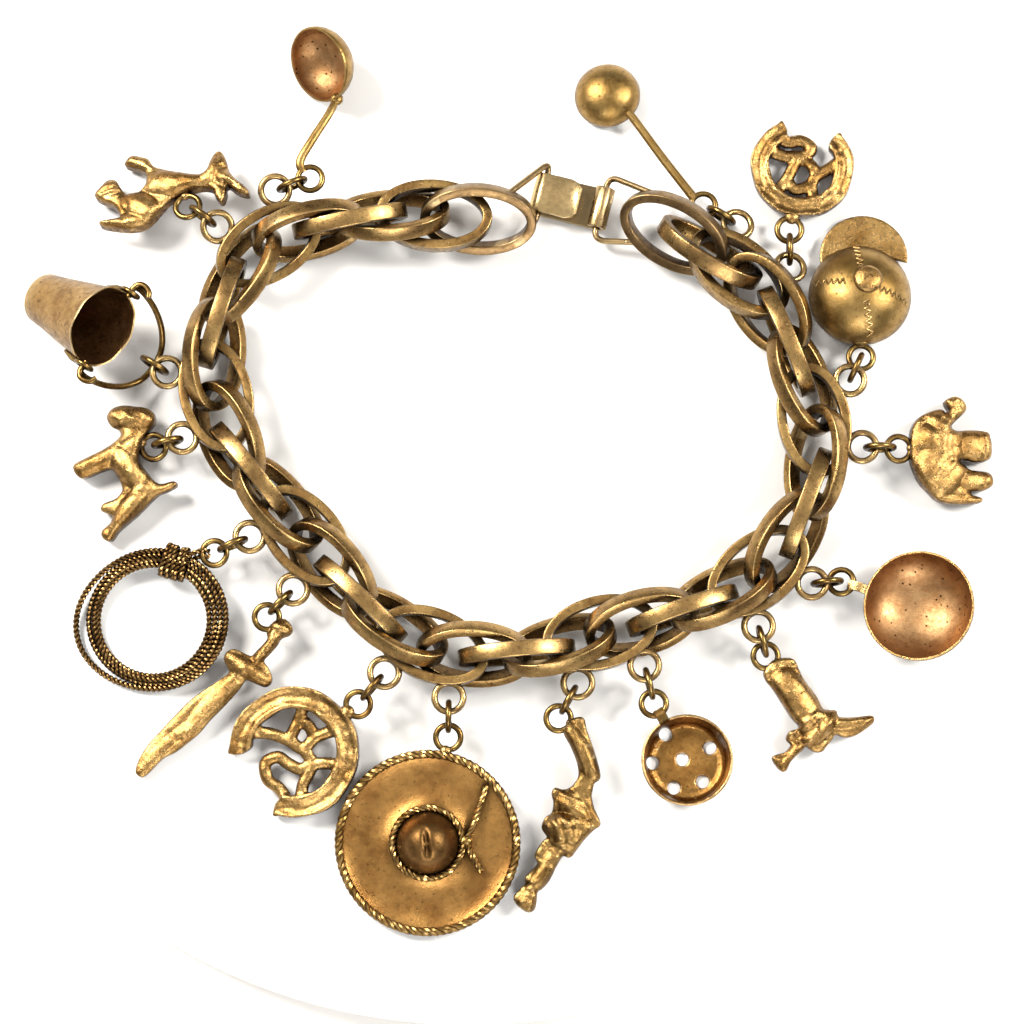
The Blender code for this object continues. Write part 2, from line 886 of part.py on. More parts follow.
def strainer():
    """A flat-bottomed cup with six holes, carried by a folded strap."""
    heading = -59.6
    reach = STRAINER_RADIUS + 2.2 * MM
    middle = on_circle(reach, heading)
    place = Matrix.Translation((*middle, 0.0)) @ turned_about_z(heading)
    radius = STRAINER_RADIUS
    depth = STRAINER_DEPTH
    wall = STRAINER_WALL
    profile = [
        (0.0, -depth + wall),
        (0.8 * (radius - wall), -0.93 * depth + wall),
        (radius - wall, -0.72 * depth),
        (radius - wall, 0.0),
        (radius, 0.0),
        (radius, -0.72 * depth),
        (0.8 * radius, -0.95 * depth),
        (0.0, -depth),
    ]
    cup = turned(profile[::-1], 12, place)
    holes = []
    for across, angle in ((0.12, 200), (0.62, 15), (0.62, 87), (0.62, 159), (0.62, 231), (0.62, 303)):
        spot = on_circle(across * radius, angle)
        top = place @ Vector((*spot, 0.0))
        bottom = place @ Vector((*spot, -2 * depth))
        holes.append(rod(top, bottom, STRAINER_HOLE / 2, 7))
    cup = cut(cup, holes)
    near = reach - radius
    strap_view = [(0.3 * CHARM_RING_OUTSIDE, 0.0), (near - 0.4 * MM, 0.1 * MM), (near + 0.5 * wall, -0.5 * MM)]
    return [
        cup,
        strap(strap_view, 1.4 * MM, HANDLE_SHEET, turned_about_z(heading)),
        charm_ring(),
    ]


def saucepan():
    """A round-bottomed pan with a flat handle."""
    heading = -19.0
    reach = SAUCEPAN_RADIUS + 3.0 * MM
    place = Matrix.Translation((*on_circle(reach, heading), 0.0)) @ turned_about_z(heading)
    near = reach - SAUCEPAN_RADIUS
    handle = [(0.3 * CHARM_RING_OUTSIDE, 0.0), (near - 0.3 * MM, 0.0), (near + 0.6 * SAUCEPAN_WALL, -0.45 * MM)]
    return [
        bowl(SAUCEPAN_RADIUS, SAUCEPAN_DEPTH, SAUCEPAN_WALL, 16, place),
        strap(handle, HANDLE_WIDTH, HANDLE_SHEET, turned_about_z(heading)),
        charm_ring(),
    ]


def cap():
    """A hollow cloth-cap dome lying on its rim, with a visor and a button."""
    reach = CAP_RADIUS + 0.42 * CHARM_RING_OUTSIDE
    place = Matrix.Translation((0.0, reach, 0.0))
    dome_place = place @ Matrix.Rotation(math.radians(180), 4, "X")
    visor_centre = (0.5 * MM, reach + 0.78 * CAP_RADIUS)
    visor = arc(CAP_VISOR_RADIUS, -8, 188, 9, visor_centre)
    visor += arc(CAP_RADIUS - CAP_WALL / 2, 140, 48, 4, (0.0, reach))
    top = Vector((0.6 * MM, reach + 0.5 * MM, CAP_HEIGHT))
    return [
        bowl(CAP_RADIUS, CAP_HEIGHT, CAP_WALL, 12, dome_place),
        plate(visor, 0.5 * MM, Matrix.Translation((0.0, 0.0, 0.25 * MM))),
        ball(top, (CAP_BUTTON, CAP_BUTTON, 0.45 * CAP_BUTTON)),
        solder(Vector((0.0, 0.45 * CHARM_RING_OUTSIDE, 0.3 * MM))),
        charm_ring(),
    ]


def ladle(radius, depth, mouth, bowl_at, handle_points):
    """A ladle: a bowl whose mouth faces `mouth`, and a flat handle bent through the points."""
    place = Matrix.Translation(bowl_at) @ towards(mouth)
    return [
        bowl(radius, depth, LADLE_WALL, 14, place),
        wire(handle_points, HANDLE_WIDTH),
        charm_ring(),
    ]


def deep_ladle():
    """Lies on its side, its mouth turned down to the left."""
    grid = full_size((316, 183))
    mouth = Vector((-0.84, -0.54, 0.72)).normalized()
    bowl_at = grid.at(324, 65, 0.6 * MM)
    handle = [
        grid.at(309, 176, 0.0),
        grid.at(306, 165, 0.2 * MM),
        grid.at(318, 143, 0.3 * MM),
        grid.at(334, 116, 0.0),
        grid.at(342, 98, -0.6 * MM),
    ]
    return ladle(DEEP_LADLE_RADIUS, DEEP_LADLE_DEPTH, mouth, bowl_at, handle)


def small_ladle():
    """Lies with its bowl upside down."""
    grid = full_size((701, 194))
    mouth = Vector((0.12, -0.1, -1.0)).normalized()
    bowl_at = grid.at(605, 78, -0.9 * MM)
    handle = [
        grid.at(692, 187, 0.1 * MM),
        grid.at(660, 145, 0.3 * MM),
        grid.at(632, 106, 0.5 * MM),
        grid.at(621, 93, 0.6 * MM),
    ]
    return ladle(SMALL_LADLE_RADIUS, SMALL_LADLE_DEPTH, mouth, bowl_at, handle)


def lasso():
    """A coil of three turns of rope, held by a wrapped knot, flat on the table."""
    grid = full_size((213, 551))
    pieces = []
    turns = ((151.5, 618.0, 1.0, 1.0), (152.0, 616.5, 1.09, 1.08), (148.5, 615.5, 1.27, 1.17))
    for x, y, wider, taller in turns:
        middle = LASSO_HOLE_RADIUS + LASSO_ROPE / 2
        place = Matrix.Translation(grid.at(x, y)) @ Matrix.Diagonal((wider, taller, 1.0, 1.0))
        pieces.append(ring(middle, LASSO_ROPE, place, 14))
    knot = grid.at(178, 560)
    half = Vector((LASSO_KNOT_LENGTH / 2, -0.12 * LASSO_KNOT_LENGTH, 0.0))
    pieces.append(rod(knot - half, knot + half, LASSO_KNOT_RADIUS, 8))
    pieces.append(wire([knot + half * 0.5, grid.at(203, 553)], 0.9 * MM))
    pieces.append(charm_ring())
    return pieces


def jump_ring_centre(eye, heading, slant):
    """A jump ring hangs on the outer wire of its eye, slanting out and down unless the table is in its way."""
    outwards = Vector((*on_circle(1.0, heading), 0.0))
    hole = JUMP_OUTSIDE / 2 - JUMP_WIRE
    drop = hole - EYE_WIRE / 2 - EYE_CLEARANCE
    held = eye + outwards * eye_middle_radius()
    steepest = max(-1.0, min(1.0, (held.z - JUMP_OUTSIDE / 2) / drop))
    slant = min(math.radians(slant), math.asin(steepest))
    down = outwards * math.cos(slant) - Vector((0, 0, math.sin(slant)))
    return outwards, down, held + down * drop


def jump_ring(centre, heading):
    upright = turned_about_z(heading) @ Matrix.Rotation(math.radians(90), 4, "X")
    return ring((JUMP_OUTSIDE - JUMP_WIRE) / 2, JUMP_WIRE, Matrix.Translation(centre) @ upright)


def lowest(mesh, place):
    return min((place @ vertex.co).z for vertex in mesh.vertices)


def rest_turn(mesh, pivot):
    """The tilt about the pivot that brings the far end of the mesh to the table."""
    middle = sum((vertex.co for vertex in mesh.vertices), Vector()) / len(mesh.vertices)
    fall = Vector((middle.x - pivot.x, middle.y - pivot.y, 0.0)).normalized()
    axis = fall.cross(Vector((0, 0, 1)))
    low, high = -60.0, 60.0
    for _ in range(30):
        angle = (low + high) / 2
        place = (
            Matrix.Translation(pivot)
            @ Matrix.Rotation(math.radians(angle), 4, axis)
            @ Matrix.Translation(-pivot)
        )
        if lowest(mesh, place) < 0.0:
            low = angle
        else:
            high = angle
    return place


def hang(name, pieces, eye, heading, slant):
    """The charm on its jump ring: joined to it at the near wire of the charm's own ring, and
    tilted down from there until it rests on the table."""
    outwards, down, centre = jump_ring_centre(eye, heading, slant)
    hole = JUMP_OUTSIDE / 2 - JUMP_WIRE
    pivot = centre + down * (hole - CHARM_RING_WIRE / 2 + SOLDER)
    charm = fuse(name, pieces)
    ring_centre = pivot + outwards * (CHARM_RING_OUTSIDE - CHARM_RING_WIRE) / 2
    charm.data.transform(Matrix.Translation(ring_centre))
    charm.data.transform(rest_turn(charm.data, pivot))
    return fuse(name, [charm, jump_ring(centre, heading)])


def bail_half_span():
    """From the middle of the bucket to the bail's leg, which passes outside the ears."""
    ear_outside = BUCKET_MOUTH_RADIUS + BUCKET_EAR_WIRE - SOLDER
    return ear_outside + BAIL_CLEARANCE + BAIL_WIRE / 2


def bucket_on_bail(eye, heading, slant):
    """The bucket and its bail, then a point on the hinge between them and its direction."""
    outwards, down, centre = jump_ring_centre(eye, heading, slant)
    hole = JUMP_OUTSIDE / 2 - JUMP_WIRE
    apex = centre + down * (hole - BAIL_WIRE / 2 + SOLDER)
    slope = math.radians(BUCKET_SLOPE)
    up = Vector((0, 0, 1))
    mouth = -outwards * math.cos(slope) + up * math.sin(slope)
    length = BUCKET_DEPTH + BUCKET_EAR_RISE
    hinge_height = length * math.sin(slope) + BUCKET_FOOT_RADIUS * math.cos(slope)
    rise = hinge_height - apex.z
    level = math.sqrt(BAIL_REACH**2 - rise**2)
    bail_run = (outwards * level + up * rise).normalized()
    hinge = apex + bail_run * BAIL_REACH
    ear_line = mouth.cross(up).normalized()
    frame = Matrix.Identity(4)
    frame.col[0] = (*ear_line, 0.0)
    frame.col[1] = (*mouth.cross(ear_line), 0.0)
    frame.col[2] = (*mouth, 0.0)
    bail = bucket_bail(hinge, ear_line, bail_run, jump_ring(centre, heading))
    return bucket(frame), bail, hinge, ear_line


def bucket(frame):
    """The pail with its two ears; its origin is on the line through the ears, its mouth to +Z."""
    rim = -BUCKET_EAR_RISE
    foot = rim - BUCKET_DEPTH
    wall = BUCKET_WALL
    profile = [
        (0.0, foot),
        (0.85 * BUCKET_FOOT_RADIUS, foot),
        (BUCKET_FOOT_RADIUS, foot + 0.5 * MM),
        (BUCKET_MOUTH_RADIUS, rim),
        (BUCKET_MOUTH_RADIUS - wall, rim),
        (BUCKET_FOOT_RADIUS - wall, foot + 0.5 * MM + wall),
        (0.0, foot + wall),
    ]
    pieces = [turned(profile, 16)]
    ear_ahead = BUCKET_MOUTH_RADIUS + BUCKET_EAR_WIRE / 2 - SOLDER
    for side in (-1, 1):
        place = Matrix.Translation((side * ear_ahead, 0.0, 0.0)) @ Matrix.Rotation(math.radians(90), 4, "Y")
        pieces.append(ring(BUCKET_EAR_RADIUS, BUCKET_EAR_WIRE, place))
        top = Vector((side * ear_ahead, 0.0, rim - 0.1 * MM))
        bottom = Vector((side * (ear_ahead - 0.45 * MM), 0.0, rim - 3.0 * MM))
        pieces.append(wire([top, bottom], 0.9 * MM))
    pail = fuse("bucket", pieces)
    pail.data.transform(frame)
    return pail


def bucket_bail(hinge, ear_line, bail_run, carrier):
    """The bent wire handle through both ears, with the jump ring that carries it."""
    span = bail_half_span()
    inner_end = BUCKET_MOUTH_RADIUS - SOLDER - BAIL_CLEARANCE

    def spot(across, reach):
        return hinge + ear_line * across - bail_run * reach

    half = [
        (inner_end, 0.0),
        (span - 0.25 * MM, 0.0),
        (span, 0.25 * MM),
        (span, 0.2 * BAIL_REACH),
        (0.88 * span, 0.5 * BAIL_REACH),
        (0.66 * span, 0.78 * BAIL_REACH),
        (0.36 * span, 0.95 * BAIL_REACH),
        (0.0, BAIL_REACH),
    ]
    path = [spot(across, reach) for across, reach in half]
    path += [spot(-across, reach) for across, reach in half[-2::-1]]
    return fuse("bucket_bail", [wire(path, BAIL_WIRE), carrier])


# The charms in their order round the chain, two to each flat link: the way that each lies from its
# eye (degrees, 0 to the right), how steeply its jump ring hangs, its linear colour and roughness.
CHARMS = [
    ("deep_ladle", deep_ladle, 22.0, 40.0, (0.62, 0.42, 0.17), 0.28),
    ("fox", fox, 143.0, 30.0, (0.55, 0.38, 0.16), 0.38),
    ("bucket", None, 148.0, 80.0, (0.50, 0.32, 0.13), 0.36),
    ("terrier", terrier, -167.0, 75.0, (0.50, 0.34, 0.14), 0.40),
    ("lasso", lasso, -157.0, 30.0, (0.30, 0.19, 0.09), 0.42),
    ("dagger", dagger, -135.0, 40.0, (0.52, 0.34, 0.14), 0.36),
    ("horseshoe_1", first_horseshoe, -130.0, 5.0, (0.66, 0.45, 0.18), 0.30),
    ("sombrero", sombrero, -91.0, 30.0, (0.60, 0.42, 0.18), 0.34),
    ("revolver", revolver, -119.0, 25.0, (0.52, 0.34, 0.13), 0.36),
    ("strainer", strainer, -76.0, 35.0, (0.45, 0.27, 0.10), 0.34),
    ("boot", boot, -75.0, 80.0, (0.50, 0.33, 0.13), 0.36),
    ("saucepan", saucepan, 6.0, 75.0, (0.50, 0.29, 0.15), 0.36),
    ("elephant", elephant, 0.0, 40.0, (0.52, 0.34, 0.14), 0.38),
    ("cap", cap, 65.0, 80.0, (0.55, 0.37, 0.14), 0.32),
    ("horseshoe_2", second_horseshoe, 90.0, 20.0, (0.70, 0.48, 0.20), 0.30),
    ("small_ladle", small_ladle, 149.0, 20.0, (0.62, 0.42, 0.16), 0.26),
]


def eye_of(number, places):
    """The centre of the eye that this charm hangs from, counted round the chain from 0."""
    eyed_link = FIRST_EYED_LINK + EYED_LINK_STEP * (number // 2)
    side = 1 if number % 2 else -1
    return places[eyed_link] @ eye_at(side)


def build_chain(places, keep):
    plain = link_body()
    eyed = eyed_link_body()
    brass = metal("link_brass", (0.58, 0.39, 0.17), 0.34)
    ring_brass = metal("end_ring_brass", (0.45, 0.28, 0.13), 0.36)
    for number in range(1, LINK_COUNT + 1):
        has_eyes = number >= FIRST_EYED_LINK and (number - FIRST_EYED_LINK) % EYED_LINK_STEP == 0
        source = eyed if has_eyes else plain
        link = bpy.data.objects.new(f"chain_link_{number:02d}", source.data)
        keep(link, brass, places[number])
    for source in (plain, eyed):
        bpy.data.objects.remove(source, do_unlink=True)
    keep(end_ring("end_ring_left", places[0], 0.0, 180.0), ring_brass)
    keep(end_ring("end_ring_right", places[-1], CLASP_SPAN, 0.0), ring_brass)
    hook = clasp_hook()
    hook.name = "clasp_hook"
    keep(hook, metal("clasp_brass", (0.40, 0.24, 0.10), 0.34))


def build_charms(places, keep):
    """Every charm on its eye. Gives the bucket's hinge: a point on it and its direction."""
    for number, (name, make, heading, slant, colour, roughness) in enumerate(CHARMS):
        finish = metal(f"{name}_brass", colour, roughness)
        eye = eye_of(number, places)
        if name == "bucket":
            pail, bail, hinge, ear_line = bucket_on_bail(eye, heading, slant)
            keep(pail, finish, Matrix.Translation(hinge))
            keep(bail, metal("bail_brass", (0.38, 0.24, 0.10), 0.36))
        else:
            keep(hang(name, make(), eye, heading, slant), finish)
    return hinge, ear_line


def centre_on_table(objects, frame):
    """Moves the whole bracelet so that its box stands centred on the origin."""
    bpy.context.view_layer.update()
    corners = [item.matrix_world @ vertex.co for item in objects for vertex in item.data.vertices]
    middle = [(min(p[axis] for p in corners) + max(p[axis] for p in corners)) / 2 for axis in (0, 1)]
    frame.location = (-middle[0], -middle[1], -min(p.z for p in corners))
    bpy.context.view_layer.update()


def main():
    clear_scene()
    group = collection_of("charm_bracelet")
    frame = bpy.data.objects.new("bracelet_frame", None)
    group.objects.link(frame)
    kept = []

    def keep(thing, material, place=None):
        for holder in list(thing.users_collection):
            holder.objects.unlink(thing)
        group.objects.link(thing)
        thing.data.materials.clear()
        thing.data.materials.append(material)
        thing.data.shade_smooth()
        thing.data.set_sharp_from_angle(angle=math.radians(35))
        thing.parent = frame
        thing.matrix_local = place or Matrix.Identity(4)
        kept.append(thing)

    places = link_places()
    build_chain(places, keep)
    hinge, ear_line = build_charms(places, keep)
    centre_on_table(kept, frame)
    print("bucket hinge at", [round(v, 5) for v in hinge + frame.location], "along", [round(v, 5) for v in ear_line])


main()
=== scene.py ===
# %% [markdown]
# # A brass charm bracelet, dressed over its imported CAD
#
# The real thing is a chain of oval links with sixteen small brass charms, worn and tarnished. The
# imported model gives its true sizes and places. This script puts a finely made piece over every CAD
# node, gives each one an aged brass, and sets the table, the light and the camera.
#
# Lengths are in millimetres until a mesh is made, when they are scaled to metres.

# %% Load the frame
import math

import bmesh
import bpy
import numpy as np
from mathutils import Matrix, Vector


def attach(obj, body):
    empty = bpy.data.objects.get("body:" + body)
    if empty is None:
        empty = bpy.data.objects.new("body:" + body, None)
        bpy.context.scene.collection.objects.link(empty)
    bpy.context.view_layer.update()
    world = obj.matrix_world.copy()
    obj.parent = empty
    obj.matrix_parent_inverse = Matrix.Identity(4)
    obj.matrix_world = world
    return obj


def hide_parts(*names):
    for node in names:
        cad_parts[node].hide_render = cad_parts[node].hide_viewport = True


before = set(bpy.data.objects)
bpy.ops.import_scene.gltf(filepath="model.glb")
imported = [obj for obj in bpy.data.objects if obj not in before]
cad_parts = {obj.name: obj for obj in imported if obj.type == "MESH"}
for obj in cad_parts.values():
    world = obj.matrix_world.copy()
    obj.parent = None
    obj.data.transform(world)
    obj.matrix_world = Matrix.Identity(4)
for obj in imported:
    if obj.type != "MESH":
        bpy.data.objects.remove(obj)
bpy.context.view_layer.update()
MM = 0.001
print("nodes", len(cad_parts))

# %% [markdown]
# ## The camera
#
# Small jewellery is photographed from above, from far enough away that it shows almost no
# perspective. The camera could be placed by eye, but its place is worked out here from the width of
# the picture on the table, so that the render can be laid over the photograph. It looks down from
# the near side, nine degrees off the vertical. The photograph's middle is the point AIM.

# %% Camera
AIM = Vector((0.2, -3.6, 0.0)) * MM
DISTANCE = 620 * MM
TILT_OFF_VERTICAL = 9.0
FRAME_WIDTH = 116.9 * MM

camera_data = bpy.data.cameras.new("camera")
camera_data.sensor_width = 36.0
camera_data.lens = 36.0 * DISTANCE / FRAME_WIDTH
camera_data.clip_start = 0.01
camera = bpy.data.objects.new("camera", camera_data)
tilt = math.radians(TILT_OFF_VERTICAL)
camera.location = AIM + DISTANCE * Vector((0.0, -math.sin(tilt), math.cos(tilt)))
camera.rotation_euler = (tilt, 0.0, 0.0)
bpy.context.scene.collection.objects.link(camera)
bpy.context.scene.camera = camera
print("camera", camera_data.lens, "mm lens")

# %% [markdown]
# ## Shapes as points and faces
#
# Every shape below is a pair: an array of points and a list of faces. Shapes are turned, moved and
# joined as arrays, and become one mesh object only at the end. Blender's own primitives would do the
# same, but each would be an object to place and join, and arrays are much faster for so many rings.

# %% Shape helpers


def moved(form, place):
    """The shape put in place by a 4 x 4 matrix."""
    points, faces = form
    matrix = np.array(place)
    return points @ matrix[:3, :3].T + matrix[:3, 3], faces


def joined(forms):
    """One shape from several."""
    points = []
    faces = []
    count = 0
    for part_points, part_faces in forms:
        points.append(np.asarray(part_points, float))
        faces += [tuple(i + count for i in face) for face in part_faces]
        count += len(part_points)
    return np.vstack(points), faces


def turn_z(degrees):
    """A turn about the upright axis."""
    return Matrix.Rotation(math.radians(degrees), 4, "Z")


def put(x, y, z=0.0):
    """A shift without a turn."""
    return Matrix.Translation((x, y, z))


def polar(radius, degrees):
    """The point at a distance and a heading from the origin."""
    angle = math.radians(degrees)
    return (radius * math.cos(angle), radius * math.sin(angle))


def smooth_line(points, steps=6, closed=False):
    """A Catmull-Rom curve through the points."""
    points = [np.array(p, float) for p in points]
    if closed:
        ends = [points[-1], *points, points[0], points[1]]
    else:
        ends = [2 * points[0] - points[1], *points, 2 * points[-1] - points[-2]]
    row = []
    for before, start, end, after in zip(ends, ends[1:], ends[2:], ends[3:]):
        for step in range(steps):
            t = step / steps
            row.append(
                0.5 * (2 * start + (end - before) * t)
                + 0.5 * (2 * before - 5 * start + 4 * end - after) * t**2
                + 0.5 * (3 * start - before - 3 * end + after) * t**3
            )
    if not closed:
        row.append(points[-1])
    return np.array(row)


def skin(rows, closed_rows, closed_sections=True):
    """Quads between rows of points of equal length."""
    points = np.vstack(rows)
    count = len(rows[0])
    faces = []
    last = len(rows) if closed_rows else len(rows) - 1
    across = count if closed_sections else count - 1
    for i in range(last):
        j = (i + 1) % len(rows)
        for a in range(across):
            b = (a + 1) % count
            faces.append((i * count + a, i * count + b, j * count + b, j * count + a))
    return points, faces


def frames_along(path, closed):
    """A direction and two sideways directions at each point, carried along without twisting."""
    path = np.asarray(path, float)
    if closed:
        ahead = np.roll(path, -1, 0) - np.roll(path, 1, 0)
    else:
        ahead = np.gradient(path, axis=0)
    ahead /= np.linalg.norm(ahead, axis=1, keepdims=True)
    start = np.cross(ahead[0], (0.0, 0.0, 1.0))
    if np.linalg.norm(start) < 0.1:
        start = np.cross(ahead[0], (0.0, 1.0, 0.0))
    sides = [start / np.linalg.norm(start)]
    for direction in ahead[1:]:
        side = sides[-1] - direction * np.dot(sides[-1], direction)
        sides.append(side / np.linalg.norm(side))
    sides = np.array(sides)
    return ahead, sides, np.cross(ahead, sides)


def tube(path, radius, sides=12, closed=False, squash=1.0):
    """A round wire along the path. The radius may be one number or one for each point."""
    path = np.asarray(path, float)
    _, side, up = frames_along(path, closed)
    radii = np.broadcast_to(radius, len(path))
    angles = np.linspace(0, 2 * math.pi, sides, endpoint=False)
    rows = []
    for centre, a, b, r in zip(path, side, up, radii):
        rows.append(centre + r * (np.outer(np.cos(angles), a) + squash * np.outer(np.sin(angles), b)))
    points, faces = skin(rows, closed)
    if not closed:
        faces.append(tuple(range(sides))[::-1])
        faces.append(tuple(range(len(points) - sides, len(points))))
    return points, faces


def circle(radius, steps=48):
    """Points round a flat circle."""
    return np.array([(*polar(radius, 360 * i / steps), 0.0) for i in range(steps)])


def ring(radius, wire):
    """A closed ring of round wire."""
    return tube(circle(radius), wire / 2, 12, closed=True)


BLOB_ROWS = 10


def blob(centre, radii, sides=20):
    """A squashed ball."""
    rows = []
    for step in range(1, BLOB_ROWS + 1):
        angle = math.pi * step / (BLOB_ROWS + 1)
        flat = circle(math.sin(angle), sides)
        flat[:, 2] = math.cos(angle)
        rows.append(flat)
    points, faces = skin(rows, False)
    points = np.vstack([points, (0, 0, 1), (0, 0, -1)])
    top = len(points) - 2
    last = BLOB_ROWS - 1
    for i in range(sides):
        j = (i + 1) % sides
        faces.append((i, j, top))
        faces.append((last * sides + j, last * sides + i, top + 1))
    return points * np.asarray(radii) + np.asarray(centre), faces


def turned(profile, sides=96, closed=True):
    """A shape turned about Z from (radius, height) points."""
    rows = []
    for i in range(sides):
        angle = 2 * math.pi * i / sides
        rows.append([(r * math.cos(angle), r * math.sin(angle), z) for r, z in profile])
    return skin(rows, True, closed)


def slab(outline, thickness):
    """A flat piece with its thickness half above and half below z = 0."""
    outline = [tuple(p[:2]) for p in outline]
    count = len(outline)
    low = [(x, y, -thickness / 2) for x, y in outline]
    high = [(x, y, thickness / 2) for x, y in outline]
    faces = [tuple(range(count))[::-1], tuple(range(count, 2 * count))]
    for i in range(count):
        j = (i + 1) % count
        faces.append((i, j, count + j, count + i))
    return np.array(low + high), faces


# The section of a strip with its corners taken off, as shares of its half width and half thickness.
STRIP_SECTION = [(1, 0.7), (0.94, 1), (-0.94, 1), (-1, 0.7), (-1, -0.7), (-0.94, -1), (0.94, -1), (1, -0.7)]


def ribbon(path, across, half_widths, thickness):
    """A bent strip of sheet whose centre line is the path. `across` is its flat direction."""
    path = np.asarray(path, float)
    across = np.asarray(across, float)
    ahead = np.gradient(path, axis=0)
    ahead /= np.linalg.norm(ahead, axis=1, keepdims=True)
    normal = np.cross(ahead, across)
    half_widths = np.broadcast_to(half_widths, len(path))
    half = thickness / 2
    rows = []
    for centre, up, width in zip(path, normal, half_widths):
        section = []
        for s, t in STRIP_SECTION:
            section.append(centre + across * width * s + up * half * t)
        rows.append(section)
    points, faces = skin(rows, False)
    corners = len(STRIP_SECTION)
    faces.append(tuple(range(corners))[::-1])
    faces.append(tuple(range(len(points) - corners, len(points))))
    return points, faces


POINTS_A_TURN = 9


def twisted(path, radius, pitch, closed=True, strands=2, sides=6):
    """A rope of wires laid round each other along the path."""
    path = np.asarray(path, float)
    source = np.vstack([path, path[:1]]) if closed else path
    steps = np.linalg.norm(np.diff(source, axis=0), axis=1)
    length = steps.sum()
    turns = max(1, round(length / pitch))
    travelled = np.concatenate([[0], np.cumsum(steps)])
    where = np.linspace(0, length, turns * POINTS_A_TURN, endpoint=not closed)
    fine = np.array([np.interp(where, travelled, source[:, k]) for k in range(3)]).T
    _, side, up = frames_along(fine, closed)
    forms = []
    for strand in range(strands):
        angle = 2 * math.pi * (where / length * turns + strand / strands)
        shift = side * np.cos(angle)[:, None] + up * np.sin(angle)[:, None]
        forms.append(tube(fine + 0.5 * radius * shift, 0.56 * radius, sides, closed))
    return joined(forms)


# %% [markdown]
# ## From shapes to objects
#
# `solid` makes a mesh object. `cast` melts overlapping shapes into one smooth skin with a voxel
# remesh, as a figure comes out of its mould, and `carve` then presses lines into it. Sculpting by
# hand would give the same forms, but not the same result each time the script runs.

# %% Object helpers


SAME_POINT = 1e-7
SMOOTH_ANGLE = math.radians(40)


def solid(name, forms):
    """A mesh object from shapes, smooth except where it bends sharply."""
    points, faces = joined(forms)
    mesh = bpy.data.meshes.new(name)
    mesh.from_pydata([tuple(p) for p in points * MM], [], faces)
    mesh.validate()
    work = bmesh.new()
    work.from_mesh(mesh)
    bmesh.ops.remove_doubles(work, verts=work.verts, dist=SAME_POINT)
    bmesh.ops.recalc_face_normals(work, faces=work.faces)
    work.to_mesh(mesh)
    work.free()
    mesh.shade_smooth()
    mesh.set_sharp_from_angle(angle=SMOOTH_ANGLE)
    thing = bpy.data.objects.new(name, mesh)
    bpy.context.scene.collection.objects.link(thing)
    return thing


def applied(thing):
    """The same object with its modifiers made real."""
    bpy.context.view_layer.update()
    graph = bpy.context.evaluated_depsgraph_get()
    mesh = bpy.data.meshes.new_from_object(thing.evaluated_get(graph))
    thing.modifiers.clear()
    old = thing.data
    thing.data = mesh
    bpy.data.meshes.remove(old)
    return thing


def coordinates(thing):
    """The points of an object's mesh, in millimetres."""
    points = np.zeros(len(thing.data.vertices) * 3)
    thing.data.vertices.foreach_get("co", points)
    return points.reshape(-1, 3) / MM


def set_coordinates(thing, points):
    """Moves the points of an object's mesh, given in millimetres."""
    thing.data.vertices.foreach_set("co", (points * MM).ravel())
    thing.data.update()


def line_distance(points, line, closed=False):
    """How far each point lies from a line of points, seen from above."""
    line = np.array([p[:2] for p in line], float)
    if closed:
        line = np.vstack([line, line[:1]])
    flat = points[:, :2]
    best = np.full(len(points), 1e9)
    for start, end in zip(line, line[1:]):
        run = end - start
        share = np.clip(((flat - start) @ run) / max(run @ run, 1e-12), 0, 1)
        best = np.minimum(best, np.linalg.norm(flat - start - share[:, None] * run, axis=1))
    return best


def cast(name, forms, voxel=0.16, rounds=6):
    """One smooth skin over overlapping shapes."""
    thing = solid(name, forms)
    remesh = thing.modifiers.new("skin", "REMESH")
    remesh.mode = "VOXEL"
    remesh.voxel_size = voxel * MM
    remesh.use_smooth_shade = True
    if rounds:
        soften = thing.modifiers.new("soften", "SMOOTH")
        soften.factor = 0.5
        soften.iterations = rounds
    return applied(thing)


def carve(thing, lines):
    """Presses lines into the upper side (depth above 0) or raises them (below 0)."""
    points = coordinates(thing)
    upper = np.clip(points[:, 2] / 0.5 + 0.5, 0, 1)
    for line, width, depth in lines:
        away = line_distance(points, line)
        points[:, 2] -= upper * depth * np.exp(-((away / width) ** 2))
    set_coordinates(thing, points)


def place_of(thing, matrix):
    """Puts a finished local mesh where it belongs."""
    scaled = matrix.copy()
    scaled.translation = scaled.translation * MM
    thing.data.transform(scaled)
    thing.data.update()
    return thing


def merged(name, things):
    """One object from several."""
    work = bmesh.new()
    for thing in things:
        work.from_mesh(thing.data)
    mesh = bpy.data.meshes.new(name)
    work.to_mesh(mesh)
    work.free()
    for thing in things:
        bpy.data.objects.remove(thing)
    mesh.shade_smooth()
    mesh.set_sharp_from_angle(angle=SMOOTH_ANGLE)
    whole = bpy.data.objects.new(name, mesh)
    bpy.context.scene.collection.objects.link(whole)
    return whole


# %% [markdown]
# ## Aged brass
#
# The whole bracelet is brass: rolled band in the links, drawn wire in the rings, sand-cast figures
# and spun sheet. Age shows the same way on all of it. Rubbed edges stay light and shiny, and pits and
# creases go brown. Painted shade darkens the faces that look aside to the same brown, and painted
# shade turns the places shut in by other pieces black. An image of tarnish could be wrapped round
# each piece, but these are worked out from the shape itself: from where a face looks, how shut in it
# is and how sharp its edge is. So one function makes every finish.

# %% Materials


def linear(hex_colour):
    """The linear colour for an sRGB hex value."""
    channels = [int(hex_colour[i : i + 2], 16) / 255 for i in (0, 2, 4)]
    return [c / 12.92 if c <= 0.04045 else ((c + 0.055) / 1.055) ** 2.4 for c in channels] + [1.0]


